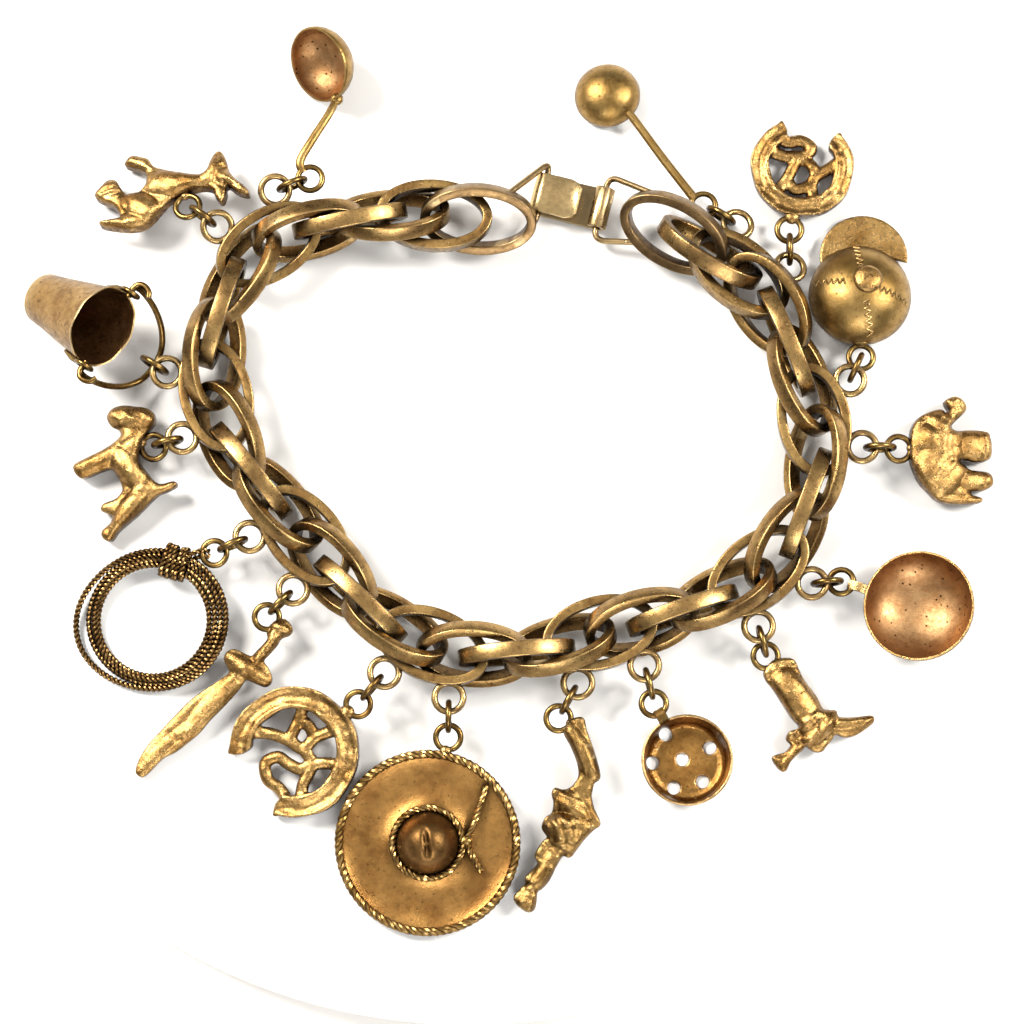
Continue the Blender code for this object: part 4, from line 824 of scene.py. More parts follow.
# %% Figures
# Places are on the photograph's grid. A swelling has its two ends, its half width and half height.
# A line has its points, its width and its depth, which is below zero where it is raised.
FIGURES = {
    "fox": {
        "size": 17.9,
        "ring_at": (202, 203),
        "thickness": 2.0,
        "material": FIGURE,
        "outline": [
            (137, 150), (142, 144), (151, 146), (159, 149), (165, 158), (179, 163), (198, 169),
            (214, 171), (222, 166), (225, 153), (232, 145), (238, 152), (242, 166), (250, 178),
            (262, 189), (264, 195), (254, 192), (246, 185), (239, 182), (241, 191), (238, 202),
            (232, 196), (228, 187), (215, 184), (198, 189), (186, 195), (177, 204), (168, 216),
            (158, 224), (142, 226), (118, 221), (114, 217), (129, 216), (135, 214), (132, 205),
            (125, 197), (114, 192), (107, 186), (113, 177), (118, 171), (126, 171), (130, 177),
            (136, 186), (144, 188), (154, 185), (160, 177), (159, 165), (154, 160), (137, 153),
        ],
        "swells": [
            ((154, 177), (220, 180), 1.45, 1.75), ((139, 194), (170, 212), 1.4, 1.7),
            ((215, 180), (237, 155), 0.95, 1.5), ((226, 168), (259, 190), 0.75, 1.45),
            ((109, 186), (134, 177), 0.75, 1.25), ((139, 148), (165, 158), 0.6, 1.2),
            ((118, 220), (162, 218), 0.7, 1.35),
        ],
        "lines": [
            ([(168, 165), (164, 177), (159, 186)], 0.3, 0.2),
            ([(136, 189), (142, 205), (139, 218)], 0.3, 0.3),
            ([(238, 185), (232, 180), (230, 174)], 0.25, 0.3), ([(237, 164), (238, 165)], 0.3, 0.3),
            ([(231, 149), (232, 158)], 0.25, 0.3), ([(245, 182), (256, 189)], 0.2, 0.3),
            ([(114, 185), (128, 180)], 0.2, 0.25), ([(117, 189), (132, 186)], 0.2, 0.25),
        ],
    },
    "terrier": {
        "size": 15.3,
        "ring_at": (158, 441),
        "thickness": 2.1,
        "material": FIGURE,
        "outline": [
            (112, 412), (115, 404), (126, 400), (138, 401), (151, 403), (158, 409), (158, 418),
            (152, 425), (147, 433), (144, 443), (142, 452), (145, 460), (151, 468), (158, 476),
            (166, 480), (179, 477), (181, 481), (171, 486), (163, 489), (156, 495), (149, 502),
            (141, 510), (131, 518), (122, 526), (115, 535), (108, 532), (107, 526), (115, 519),
            (118, 511), (112, 507), (106, 504), (108, 499), (116, 496), (122, 493), (128, 485),
            (126, 476), (120, 466), (115, 462), (104, 465), (88, 471), (82, 469), (78, 463), (79, 458),
            (91, 452), (104, 446), (116, 439), (126, 430), (124, 423), (117, 420),
        ],
        "swells": [
            ((115, 410), (155, 415), 1.05, 1.8), ((132, 422), (140, 451), 1.15, 1.5),
            ((122, 444), (146, 479), 1.35, 1.9), ((154, 476), (118, 526), 0.95, 1.8),
            ((80, 464), (132, 441), 0.8, 1.35),
        ],
        "lines": [
            ([(135, 406), (137, 407)], 0.3, 0.35), ([(146, 410), (148, 411)], 0.28, 0.25),
            ([(126, 407), (132, 414), (127, 420)], 0.3, 0.2),
            ([(141, 403), (141, 409), (151, 419)], 0.3, 0.22), ([(114, 415), (120, 416)], 0.25, 0.3),
            ([(126, 448), (135, 460), (129, 474)], 0.35, 0.2),
            ([(151, 488), (135, 488), (126, 493)], 0.35, 0.25), ([(148, 474), (157, 480)], 0.3, 0.2),
            ([(135, 435), (126, 440)], 0.3, 0.2), ([(85, 460), (83, 467)], 0.2, 0.2),
        ],
    },
    "elephant": {
        "size": 12.2,
        "ring_at": (900, 444),
        "thickness": 2.3,
        "material": FIGURE,
        "outline": [
            (950, 399), (949, 394), (959, 390), (967, 395), (969, 402), (962, 410), (956, 416),
            (952, 422), (959, 426), (974, 425), (991, 426), (994, 432), (995, 442), (993, 452),
            (979, 456), (968, 454), (960, 456), (968, 462), (974, 466), (992, 468), (996, 474),
            (995, 480), (985, 485), (974, 486), (971, 490), (984, 494), (983, 497), (968, 499),
            (952, 499), (940, 496), (929, 486), (921, 477), (915, 464), (912, 452), (912, 439),
            (914, 424), (921, 413), (932, 407), (943, 404), (949, 408), (953, 404),
        ],
        "swells": [
            ((921, 433), (962, 439), 2.0, 2.1), ((924, 483), (956, 436), 2.3, 2.15),
            ((934, 414), (956, 433), 1.4, 1.9), ((937, 489), (962, 458), 1.3, 1.8),
            ((952, 411), (963, 394), 0.6, 1.2), ((959, 441), (995, 439), 1.35, 1.5),
            ((962, 477), (995, 475), 0.85, 1.4),
        ],
        "lines": [
            ([(924, 413), (937, 427), (940, 446), (929, 458)], 0.4, 0.22),
            ([(945, 414), (946, 416)], 0.3, 0.4), ([(951, 427), (949, 442), (952, 455)], 0.4, 0.3),
            ([(952, 455), (943, 462), (937, 474)], 0.4, 0.28),
            ([(924, 480), (940, 491), (978, 494)], 0.3, 0.3), ([(960, 396), (962, 403)], 0.25, 0.35),
            ([(985, 427), (987, 453)], 0.22, 0.22), ([(985, 469), (986, 483)], 0.22, 0.22),
            ([(915, 442), (924, 447)], 0.35, -0.15),
        ],
    },
    "boot": {
        "size": 12.6,
        "ring_at": (763, 648),
        "thickness": 1.6,
        "material": PALE,
        "outline": [
            (762, 664), (770, 654), (780, 651), (790, 652), (794, 659), (799, 670), (807, 681),
            (814, 691), (819, 701), (827, 703), (833, 703), (834, 709), (846, 710), (858, 709),
            (869, 708), (870, 713), (863, 719), (852, 726), (842, 728), (832, 725), (828, 731),
            (822, 738), (819, 742), (813, 743), (807, 740), (802, 736), (799, 741), (791, 748),
            (786, 754), (782, 762), (777, 761), (770, 751), (772, 748), (782, 745), (787, 740),
            (789, 736), (784, 731), (787, 724), (794, 722), (797, 718), (789, 709), (780, 695),
            (771, 681), (764, 672),
        ],
        "swells": [
            ((774, 662), (813, 722), 1.75, 1.75), ((792, 710), (828, 718), 1.5, 1.75),
            ((802, 734), (832, 707), 1.05, 1.7), ((827, 718), (869, 711), 0.72, 1.35),
            ((782, 759), (796, 737), 0.55, 1.05),
        ],
        "lines": [
            ([(765, 670), (778, 660), (792, 658)], 0.3, 0.32),
            ([(788, 724), (802, 715), (814, 704), (828, 703)], 0.3, -0.3),
            ([(802, 735), (813, 729), (824, 718), (833, 707)], 0.28, -0.3),
            ([(792, 729), (805, 724), (819, 712)], 0.3, 0.35),
            ([(832, 704), (830, 717), (822, 731)], 0.3, 0.35),
            ([(811, 712), (818, 721), (811, 734)], 0.3, 0.25), ([(785, 731), (797, 734)], 0.25, 0.35),
            ([(837, 718), (858, 715)], 0.25, 0.2), ([(774, 749), (785, 746)], 0.2, 0.2),
        ],
    },
    "revolver": {
        "size": 21.7,
        "ring_at": (556, 719),
        "thickness": 1.6,
        "material": DARK_FIGURE,
        "outline": [
            (562, 731), (569, 721), (580, 719), (583, 730), (591, 753), (597, 777), (591, 783),
            (589, 791), (588, 798), (591, 810), (597, 824), (591, 829), (582, 838), (575, 847),
            (567, 857), (560, 855), (553, 866), (546, 880), (539, 888), (534, 891), (533, 900),
            (531, 909), (525, 911), (516, 905), (512, 897), (519, 889), (524, 884), (523, 878),
            (528, 873), (533, 868), (536, 863), (533, 855), (541, 842), (546, 838), (540, 828),
            (544, 818), (550, 814), (552, 803), (550, 794), (553, 789), (559, 791), (568, 789),
            (575, 781), (577, 774), (575, 762), (569, 747), (564, 738),
        ],
        "swells": [
            ((564, 725), (594, 780), 0.95, 1.5), ((562, 794), (583, 838), 1.3, 1.4),
            ((550, 819), (575, 847), 1.75, 1.95), ((545, 828), (578, 822), 1.2, 2.0),
            ((561, 841), (521, 905), 0.8, 1.25), ((523, 900), (524, 910), 0.75, 1.25),
        ],
        "lines": [
            ([(546, 821), (552, 834), (550, 842)], 0.32, 0.4),
            ([(553, 816), (561, 831), (562, 842)], 0.32, 0.42),
            ([(562, 813), (572, 824), (574, 838)], 0.32, 0.42),
            ([(542, 828), (553, 841), (569, 847)], 0.3, 0.42),
            ([(549, 814), (562, 810), (580, 819)], 0.3, 0.35),
            ([(555, 796), (569, 803), (585, 808)], 0.2, 0.15),
            ([(562, 792), (575, 798), (586, 799)], 0.2, 0.15), ([(566, 790), (580, 794)], 0.2, 0.12),
            ([(562, 846), (531, 900)], 0.25, -0.2), ([(541, 844), (560, 856)], 0.25, 0.3),
            ([(534, 856), (550, 865)], 0.2, 0.2), ([(524, 884), (538, 889)], 0.25, 0.28),
            ([(519, 890), (534, 893)], 0.22, 0.22), ([(522, 905), (524, 906)], 0.28, 0.3),
            ([(578, 747), (586, 775)], 0.3, 0.2), ([(577, 729), (581, 741)], 0.35, 0.25),
            ([(585, 823), (594, 824)], 0.25, 0.25),
        ],
    },
    "dagger": {
        "size": 17.6,
        "ring_at": (268, 614),
        "thickness": 1.05,
        "material": FIGURE,
        "outline": [
            (269, 629), (276, 619), (286, 617), (293, 626), (290, 632), (282, 635), (277, 643),
            (269, 652), (264, 658), (268, 664), (272, 673), (272, 679), (267, 683), (258, 680),
            (247, 676), (241, 684), (227, 700), (211, 716), (200, 729), (189, 738), (176, 748),
            (164, 754), (152, 766), (145, 772), (140, 771), (138, 766), (143, 753), (151, 741),
            (161, 730), (176, 714), (192, 698), (208, 686), (222, 677), (231, 670), (230, 664),
            (226, 656), (229, 649), (236, 647), (245, 651), (253, 654), (259, 648), (266, 641),
            (270, 635),
        ],
        "swells": [
            ((284, 622), (258, 658), 0.62, 1.1), ((229, 653), (270, 681), 0.85, 1.1),
            ((275, 622), (289, 629), 0.5, 1.05), ((245, 667), (189, 725), 0.8, 0.8),
            ((201, 716), (145, 766), 0.85, 0.75),
        ],
        "lines": [
            ([(242, 678), (208, 712), (186, 733)], 0.3, -0.16),
            ([(170, 728), (178, 735), (189, 738)], 0.25, 0.22), ([(186, 731), (164, 750)], 0.2, 0.18),
            ([(236, 672), (248, 664), (258, 656)], 0.35, -0.2), ([(272, 641), (278, 645)], 0.22, 0.25),
            ([(267, 646), (272, 652)], 0.2, 0.22), ([(278, 630), (287, 634)], 0.22, 0.3),
            ([(229, 667), (242, 678)], 0.25, 0.25),
        ],
    },
}


ROUNDED_EDGE = 0.8
CASTING_GROWTH = 0.13
LINE_WIDENING = 1.1
LINE_SOFTENING = 0.5


def widened(outline, out):
    """The outline moved outwards, as a casting's skin lies outside its drawing."""
    ahead = np.roll(outline, -1, 0) - np.roll(outline, 1, 0)
    ahead /= np.linalg.norm(ahead, axis=1, keepdims=True)
    side = np.stack([ahead[:, 1], -ahead[:, 0]], 1)
    x, y = outline[:, 0], outline[:, 1]
    area = np.sum(x * np.roll(y, -1) - np.roll(x, -1) * y)
    return outline + side * (out if area > 0 else -out)


def relief_height(points, drawn, half, swells):
    """How high the upper side stands at each point: a rounded edge, and soft swellings over it."""
    depth = np.clip(line_distance(points, drawn, closed=True) / ROUNDED_EDGE, 0, 1)
    rounded = 0.5 + 0.5 * np.sqrt(1 - (1 - depth) ** 2)
    extra = np.zeros(len(points))
    for start, end, half_width, half_height in swells:
        start = np.array(start[:2])
        run = np.array(end[:2]) - start
        length = np.linalg.norm(run)
        ahead = run / length
        flat = points[:, :2] - start - run / 2
        along = flat @ ahead / (0.5 * length + 0.5)
        across = (flat[:, 0] * ahead[1] - flat[:, 1] * ahead[0]) / (half_width + 0.25)
        inside = np.clip(1 - along**2 - across**2, 0, 1)
        extra = np.maximum(extra, max(0.15, half_height - half) * inside**0.8)
    return half * rounded, extra * rounded


def figure(name, size, ring_at, thickness, material, outline, swells, lines):
    """Casts one figure, raises and carves its face, and solders it to its ring."""
    across = [x for x, _ in outline]
    down = [y for _, y in outline]
    unit = size / max(max(across) - min(across), max(down) - min(down))
    at = grid_at(ring_at, unit)
    drawn = smooth_line([at(x, y)[:2] for x, y in outline], 3, closed=True)
    drawn = widened(drawn, CASTING_GROWTH)
    thing = cast(name, [slab(drawn, thickness)], 0.13, 2)
    points = coordinates(thing)
    laid = [(at(*start), at(*end), width, height) for start, end, width, height in swells]
    level, extra = relief_height(points, drawn, thickness / 2, laid)
    share = points[:, 2] / (thickness / 2)
    points[:, 2] = share * level + np.clip(share, 0, 1) * extra
    grain = np.sin(points[:, 0] * 3.1 + 1.3 * np.sin(points[:, 1] * 2.3)) * np.sin(points[:, 1] * 2.7 + 0.7)
    points[:, 2] += np.clip(share, 0, 1) * 0.02 * grain
    set_coordinates(thing, points)
    cuts = []
    for line, width, depth in lines:
        cuts.append(([at(x, y) for x, y in line], width * LINE_WIDENING, depth * LINE_SOFTENING))
    carve(thing, cuts)
    foot = solid(name + "_solder", [blob((*polar(1.5, solder_heading(at, drawn)), 0.0), (0.6, 0.6, 0.5))])
    finish_charm(name, [merged(name, [thing, foot])], [material])


def solder_heading(at, drawn):
    """The way from the charm's own ring to the nearest point of its outline."""
    nearest = min(drawn, key=lambda p: p[0] ** 2 + p[1] ** 2)
    return math.degrees(math.atan2(nearest[1], nearest[0]))


for name, facts in FIGURES.items():
    figure(name, **facts)
print("figures", len(FIGURES))

# %% [markdown]
# ## Horseshoes
#
# A horseshoe is a beaten band with a raised inner ridge. Inside it is a plain pierced ornament of
# curls and bars. Bevelled curves would cross with hard seams, so band and bars are melted together.

# %% Horseshoes


def horseshoe(name, radius, band, opening, half_gap, curls):
    middle = np.array(polar(radius + 1.6, opening))
    inner = radius - band

    def spot(reach, angle, height=0.0):
        x, y = polar(reach, opening + angle)
        return (middle[0] + x, middle[1] + y, height)

    def wavy(reach, angle, size):
        slow = math.sin(math.radians(angle * 5 + 20))
        quick = 0.6 * math.sin(math.radians(angle * 9))
        return reach + size * (slow + quick)

    outer_angles = np.linspace(half_gap + 6, 354 - half_gap, 44)
    inner_angles = np.linspace(353 - half_gap, half_gap + 7, 36)
    outline = [spot(wavy(radius - 0.08, a, 0.07), a)[:2] for a in outer_angles]
    outline += [spot(radius + 0.03 * band, 360 - half_gap)[:2], spot(radius - 0.55 * band, 361 - half_gap)[:2]]
    outline += [spot(wavy(inner, a, 0.09), a)[:2] for a in inner_angles]
    outline += [spot(radius - 0.55 * band, half_gap - 1)[:2], spot(radius + 0.03 * band, half_gap)[:2]]
    outline = smooth_line([(*p, 0.0) for p in outline], 2, closed=True)[:, :2]
    forms = [slab(outline, 1.15)]
    for curl in curls:
        forms.append(tube(smooth_line([spot(r * inner, a) for r, a in curl], 6), 0.74, 12, squash=0.75))
    thing = cast(name, forms, 0.14, 4)
    points = coordinates(thing)
    arc_angles = np.linspace(half_gap + 6, 354 - half_gap, 80)
    upper = np.clip(points[:, 2] / 0.4, 0, 1)
    mid = line_distance(points, [spot(radius - 0.42 * band, a) for a in arc_angles])
    rim = line_distance(points, [spot(radius - 0.3, a) for a in arc_angles])
    ridge = line_distance(points, [spot(inner + 0.35, a) for a in arc_angles])
    points[:, 2] += upper * (0.26 * np.exp(-((ridge / 0.42) ** 2)) - 0.16 * np.exp(-((mid / 0.6) ** 2)))
    points[:, 2] += upper * 0.12 * np.exp(-((rim / 0.4) ** 2))
    lumps = np.sin(points[:, 0] * 2.1 + 0.8 * np.sin(points[:, 1] * 3.0)) * np.sin(points[:, 1] * 2.4 + 0.5)
    points[:, 2] += upper * 0.05 * lumps
    set_coordinates(thing, points)
    foot = solid(name + "_solder", [blob((*polar(1.6, opening), 0.0), (0.9, 0.9, 0.6))])
    finish_charm(name, [merged(name, [thing, foot])], [PALE])


# The bars of the ornaments: shares of the inner radius, and angles from the opening.
CURLS_ONE = [
    [(1.08, 44), (0.9, 30), (0.88, 8), (0.72, -16), (0.4, -20), (0.3, 25), (0.42, 75), (0.5, 110)],
    [(1.06, 62), (0.76, 70), (0.5, 110), (0.22, 165)],
    [(1.06, -62), (0.7, -74), (0.3, -100), (0.22, 165), (0.6, 178), (1.06, 172)],
    [(1.06, 128), (0.76, 124), (0.5, 110)],
    [(1.06, -138), (0.66, -132), (0.3, -100)],
    [(0.6, 178), (0.72, -150), (0.66, -132)],
]
CURLS_TWO = [
    [(1.08, 48), (0.88, 36), (0.86, 14), (0.7, -12), (0.42, -8), (0.36, 30)],
    [(1.06, 74), (0.6, 66), (0.36, 30), (0.3, -70), (0.5, -112)],
    [(1.06, -70), (0.74, -84), (0.5, -112), (0.62, -142), (1.06, -150)],
    [(0.36, 30), (0.36, 120), (0.62, 140), (1.06, 146)],
    [(0.62, 140), (0.72, 175), (0.62, -142)],
]
horseshoe("horseshoe_1", 7.5, 2.6, -144.0, 35.0, CURLS_ONE)
horseshoe("horseshoe_2", 6.0, 2.2, 78.0, 34.0, CURLS_TWO)
print("horseshoes", 2)

# %% [markdown]
# ## Hat
#
# A spun brim, turned up to a twisted border, and a high crown with a crease on top. The hat cord is
# twisted too: a band round the crown, a knot and two tails. The sheet is a turned profile, as it was
# spun, and its points are moved afterwards for the crease and the wave.

# %% Sombrero
HAT_RADIUS = 10.5
HAT_HEADING = -101.0
# Radius and height, from the top of the crown to the border.
HAT_PROFILE = [
    (0.0, 5.3), (0.9, 5.2), (1.7, 4.85), (2.35, 4.25), (2.85, 3.4), (3.15, 2.6), (3.38, 1.9),
    (3.6, 1.25), (4.1, 0.7), (5.2, 0.28), (6.6, 0.12), (8.0, 0.18), (9.1, 0.4), (9.9, 0.72),
    (10.15, 0.85),
]
HAT_TAILS = [
    [(4.3, 0.3, 1.3), (5.0, 1.6, 1.1), (5.6, 3.2, 0.95), (6.2, 5.2, 0.75), (6.5, 6.4, 0.8)],
    [(4.3, 0.1, 1.3), (4.9, -1.2, 1.15), (5.5, -2.3, 0.85), (6.1, -3.2, 0.75)],
]


def brim_wave(angles):
    """The slow wave of the brim, by the way round it."""
    return 0.12 * np.sin(angles * 3 + 0.6) + 0.08 * np.sin(angles * 7)


def shape_hat(thing, centre):
    """Presses the crease into the crown and gives the brim its slow wave."""
    points = coordinates(thing)
    flat = points[:, :2] - centre
    away = np.abs(flat @ np.array([1.0, 0.1]))
    along = np.abs(flat @ np.array([-0.1, 1.0]))
    top = points[:, 2] > 3.2
    points[top, 2] -= 0.5 * np.exp(-((away[top] / 0.3) ** 2)) * np.exp(-((along[top] / 1.5) ** 4))
    angles = np.arctan2(flat[:, 1], flat[:, 0])
    points[:, 2] += brim_wave(angles) * np.clip((np.linalg.norm(flat, axis=1) - 5) / 5, 0, 1)
    set_coordinates(thing, points)


def hat():
    middle = put(*polar(HAT_RADIUS + 1.6, HAT_HEADING))
    inner = [(r - 0.12 if r > 0 else 0.0, z - 0.4) for r, z in HAT_PROFILE]
    profile = smooth_line(HAT_PROFILE, 3)
    under = smooth_line(inner, 3)
    edge_of_crown = int(np.argmax(profile[:, 0] > 3.9))
    shells = [turned([tuple(p) for p in profile[: edge_of_crown + 1]], 96, closed=False)]
    section = [tuple(p) for p in profile[edge_of_crown:]] + [tuple(p) for p in under[::-1]]
    shells.append(turned(section, 96, closed=False))
    crown = place_of(solid("crown", shells[:1]), middle)
    body = place_of(solid("brim", shells[1:]), middle)
    for thing in (crown, body):
        shape_hat(thing, np.array(middle.translation)[:2])
    edge = circle(10.0, 200)
    angles = np.arctan2(edge[:, 1], edge[:, 0])
    edge[:, 2] = 0.62 + brim_wave(angles)
    border = twisted(edge, 0.5, 2.3, strands=3, sides=8)
    band_line = circle(3.95, 90)
    band_line[:, 2] = 1.25
    hatband = twisted(band_line, 0.42, 2.0, strands=3, sides=8)
    knot = blob((4.35, 0.2, 1.2), (0.75, 0.65, 0.5))
    tails = []
    for line in HAT_TAILS:
        tails.append(twisted(smooth_line(line, 10), 0.38, 1.9, False, 3, 8))
    cords = place_of(solid("hat_cord", [border, hatband, knot, *tails]), middle)
    solder = solid("hat_solder", [blob((*polar(1.6, HAT_HEADING), 0.15), (0.7, 0.7, 0.5))])
    finish_charm("sombrero", [body, crown, cords, solder], [HAT_SHEET, CROWN_BRASS, GOLD_ROPE, PALE])


hat()
print("sombrero", HAT_RADIUS, "mm radius")

# %% [markdown]
# ## Lasso
#
# Four turns of twisted wire, slipping off centre as they do in the photograph, and a wrapped knot.
# A bump texture would leave the outline smooth, so the strands are really wound.

# %% Lasso


def coil(at, strand, count=220):
    """One turn of the lasso's rope. The turns lie close on the right and drift apart on the left."""
    angles = np.linspace(0, 2 * math.pi, count, endpoint=False)
    right = 0.5 + 0.5 * np.cos(angles - 0.3)
    spacing = 0.34 + 0.3 * right
    reach = 6.42 + strand * spacing
    if strand == 3:
        reach = reach + 1.5 * np.exp(-(((angles - 3.35) / 0.85) ** 2))
    if strand == 2:
        reach = reach + 0.35 * np.exp(-(((angles - 3.3) / 0.9) ** 2))
    centre = at(151.5, 617.5)
    x = centre[0] + reach * np.cos(angles)
    y = centre[1] + reach * np.sin(angles) * 0.985
    z = np.where(strand % 2, 0.22, -0.12) * (1 - 0.8 * right)
    return np.stack([x, y, z + 0 * angles], 1)


def lasso():
    at = grid_at((213, 551))
    forms = [twisted(coil(at, strand), 0.36, 1.15, sides=8) for strand in range(4)]
    knot_middle = Vector(at(173, 560))
    for step in range(5):
        loop = circle(1.0, 30)
        standing = np.stack([loop[:, 2] + (step - 2) * 0.56, loop[:, 0] * 1.75, loop[:, 1] * 0.85], 1)
        lean = Matrix.Translation(knot_middle) @ turn_z(-14 + 5 * (step % 3 - 1))
        forms.append(twisted(moved((standing, []), lean)[0], 0.36, 1.15, sides=8))
    for across in (-0.3, 0.3):
        lead = [at(180, 560, 0.3), at(190, 555, 0.3 + across), at(201, 551, across * 0.5), at(208, 552, 0.1)]
        forms.append(twisted(smooth_line(lead, 8) + (0.0, across, 0.0), 0.32, 1.15, False, 2, 8))
    rope = solid("lasso_rope", forms)
    finish_charm("lasso", [rope], [ROPE])


lasso()
print("lasso", 4, "turns")

# %% [markdown]
# ## Kitchen pieces
#
# Saucepan, strainer and two ladles are thin turned bowls, coppery inside, on flat handles. One skin
# could be thickened by a modifier, but the two colours need two skins that meet at the lip.

# %% Bowls


def bowl(radius, depth, wall, sides=96):
    """A round-bottomed bowl, mouth up at z = 0, as outer skin and inner skin."""
    quarter = [polar(1.0, a) for a in range(-84, 1, 6)]
    outside = [(0.0, -depth)] + [(radius * r, depth * z) for r, z in quarter]
    inside = [(0.0, wall - depth)] + [((radius - wall) * r, (depth - wall) * z) for r, z in quarter]
    lip = [(radius - wall * 0.25, wall * 0.45), (radius - wall * 0.75, wall * 0.45)]
    shell = turned(outside + lip, sides, closed=False)
    lining = turned([lip[1]] + inside[::-1], sides, closed=False)
    return shell, lining


def saucepan():
    heading = -19.0
    reach = 6.3 + 3.0
    middle = put(*polar(reach, heading)) @ turn_z(heading)
    shell, lining = bowl(6.3, 4.7, 0.32)
    near = reach - 6.3
    line = [(0.9, 0, 0.0), (1.6, 0, 0.15), (near - 0.6, 0, 0.1)]
    line += [(near - 0.1, 0, -0.2), (near + 0.15, 0, -0.9), (near + 0.3, 0, -1.5)]
    handle = moved(ribbon(smooth_line(line, 4), (0, 1, 0), 0.52, 0.5), turn_z(heading))
    outside = solid("pan", [moved(shell, middle), handle])
    inside = solid("pan_inside", [moved(lining, middle)])
    finish_charm("saucepan", [outside, inside], [PALE, COPPERY])


def strainer():
    heading = -59.6
    reach = 5.2 + 2.2
    middle = put(*polar(reach, heading))
    radius, depth = 5.2, 3.2
    outside = [(0.0, -depth), (3.6, -depth), (4.3, -depth * 0.94), (4.7, -depth * 0.8)]
    lip = [(5.05, -0.6), (5.2, -0.1), (5.16, 0.06), (4.96, 0.1), (4.8, -0.1)]
    inside = [(4.62, -1.0), (4.4, -depth * 0.7), (4.05, -depth * 0.82)]
    inside += [(3.5, -depth * 0.86), (0.0, -depth * 0.86)]
    holes = [polar(3.4, angle) for angle in (124, 23, 187, 312, 253)] + [(0.0, 0.0)]
    cup = solid("cup", [turned(outside + lip + inside, 72)])
    drill_holes(cup, [(x - 0.45, y + 0.35) for x, y in holes])
    place_of(cup, middle)
    near = reach - radius
    line = [(0.9, 0, 0.0), (1.5, 0, 0.3), (near - 0.3, 0, 0.25)]
    line += [(near + 0.1, 0, 0.0), (near + 0.2, 0, -0.9)]
    band = ribbon(smooth_line(line, 4), (0, 1, 0), 0.6, 0.5)
    strap = solid("strap", [moved(band, turn_z(heading))])
    finish_charm("strainer", [cup, strap], [INSIDE_GOLD, WIRE])


def drill_holes(cup, holes):
    """Cuts round holes through the flat bottom and softens their edges."""
    drill = solid("drill", [tube([(x, y, -6.0), (x, y, 1.0)], 0.74, 24) for x, y in holes])
    hole = cup.modifiers.new("holes", "BOOLEAN")
    hole.operation = "DIFFERENCE"
    hole.solver = "EXACT"
    hole.object = drill
    remesh = cup.modifiers.new("skin", "REMESH")
    remesh.mode = "VOXEL"
    remesh.voxel_size = 0.11 * MM
    soften = cup.modifiers.new("soften", "SMOOTH")
    soften.iterations = 3
    applied(cup)
    bpy.data.objects.remove(drill)
    cup.data.shade_smooth()


def ladle(name, radius, depth, mouth, bowl_at, handle):
    """A bowl whose mouth looks along `mouth`, on a flattened wire handle."""
    aim = Vector((0, 0, 1)).rotation_difference(Vector(mouth).normalized()).to_matrix().to_4x4()
    middle = Matrix.Translation(bowl_at) @ aim
    shell, lining = bowl(radius, depth, 0.3, 72)
    line = smooth_line(handle, 6)
    widths = np.interp(np.linspace(0, 1, len(line)), [0, 0.8, 1], [0.5, 0.45, 0.36])
    grip = tube(line, widths * 1.05, 10, squash=0.6)
    dab = blob(handle[-1], (0.75, 0.75, 0.5))
    outside = solid(name + "_out", [moved(shell, middle), grip, dab])
    inside = solid(name + "_in", [moved(lining, middle)])
    finish_charm(name, [outside, inside], [SHEET, COPPERY])


saucepan()
strainer()
deep = grid_at((316, 183))
deep_handle = [deep(309, 176), deep(306, 165, 0.2), deep(318, 143, 0.3)]
deep_handle += [deep(334, 116, 0.0), deep(342, 98, -0.6)]
ladle("deep_ladle", 4.45, 3.5, (-0.84, -0.54, 0.72), deep(324, 65, 0.6), deep_handle)
small = grid_at((701, 194))
small_handle = [small(692, 187, 0.1), small(660, 145, 0.3), small(632, 106, 0.5), small(621, 93, 0.6)]
ladle("small_ladle", 3.8, 2.9, (0.12, -0.1, -1.0), small(605, 78, -0.9), small_handle)
print("bowls", 4)

# %% [markdown]
# ## Cap
#
# A hollow dome with a visor, a button and four zigzag seams of raised stitches. Painted stitches
# would be simpler, but they would not catch the light.

# %% Cap


def cap():
    reach = 5.9 + 0.42 * 3.5
    middle = put(0.0, reach)
    flip = Matrix.Rotation(math.radians(180), 4, "X")
    shell, lining = bowl(5.9, 4.7, 0.35)
    dome = solid("dome", [moved(shell, middle @ flip), moved(lining, middle @ flip)])
    visor = [(0.5 + x, reach + 0.78 * 5.9 + y) for x, y in (polar(5.05, a) for a in range(-8, 189, 7))]
    visor += [(x, reach + y) for x, y in (polar(5.7, a) for a in range(140, 47, -8))]
    peak = cast("peak", [slab(visor, 0.5)], 0.14, 3)
    points = coordinates(peak)
    points[:, 2] += 0.45
    set_coordinates(peak, points)
    button = blob((0.6, reach + 0.5, 4.7), (1.65, 1.65, 0.62), 32)

    def on_dome(across, angle):
        x, y = polar(5.9 * across, angle)
        return np.array((x, reach + y, 4.7 * math.sqrt(max(0.0, 1 - across**2)) + 0.02))

    stitches = []
    for angle in (95, 172, -15, -80):
        for step in range(11):
            across = 0.34 + step * 0.055
            side = 3.2 / across if step % 2 else -3.2 / across
            start = on_dome(across, angle - side)
            end = on_dome(across + 0.045, angle + side)
            stitches.append(tube([start, (start + end) / 2 + (0, 0, 0.05), end], 0.1, 6))
    trim = solid("cap_trim", [button, *stitches])
    tab = solid("cap_tab", [blob((0.0, 1.75, 0.35), (0.9, 0.6, 0.5))])
    finish_charm("cap", [merged("dome", [dome, tab]), peak, trim], [SHEET, PALE, PALE])


cap()
print("cap", 4, "seams")

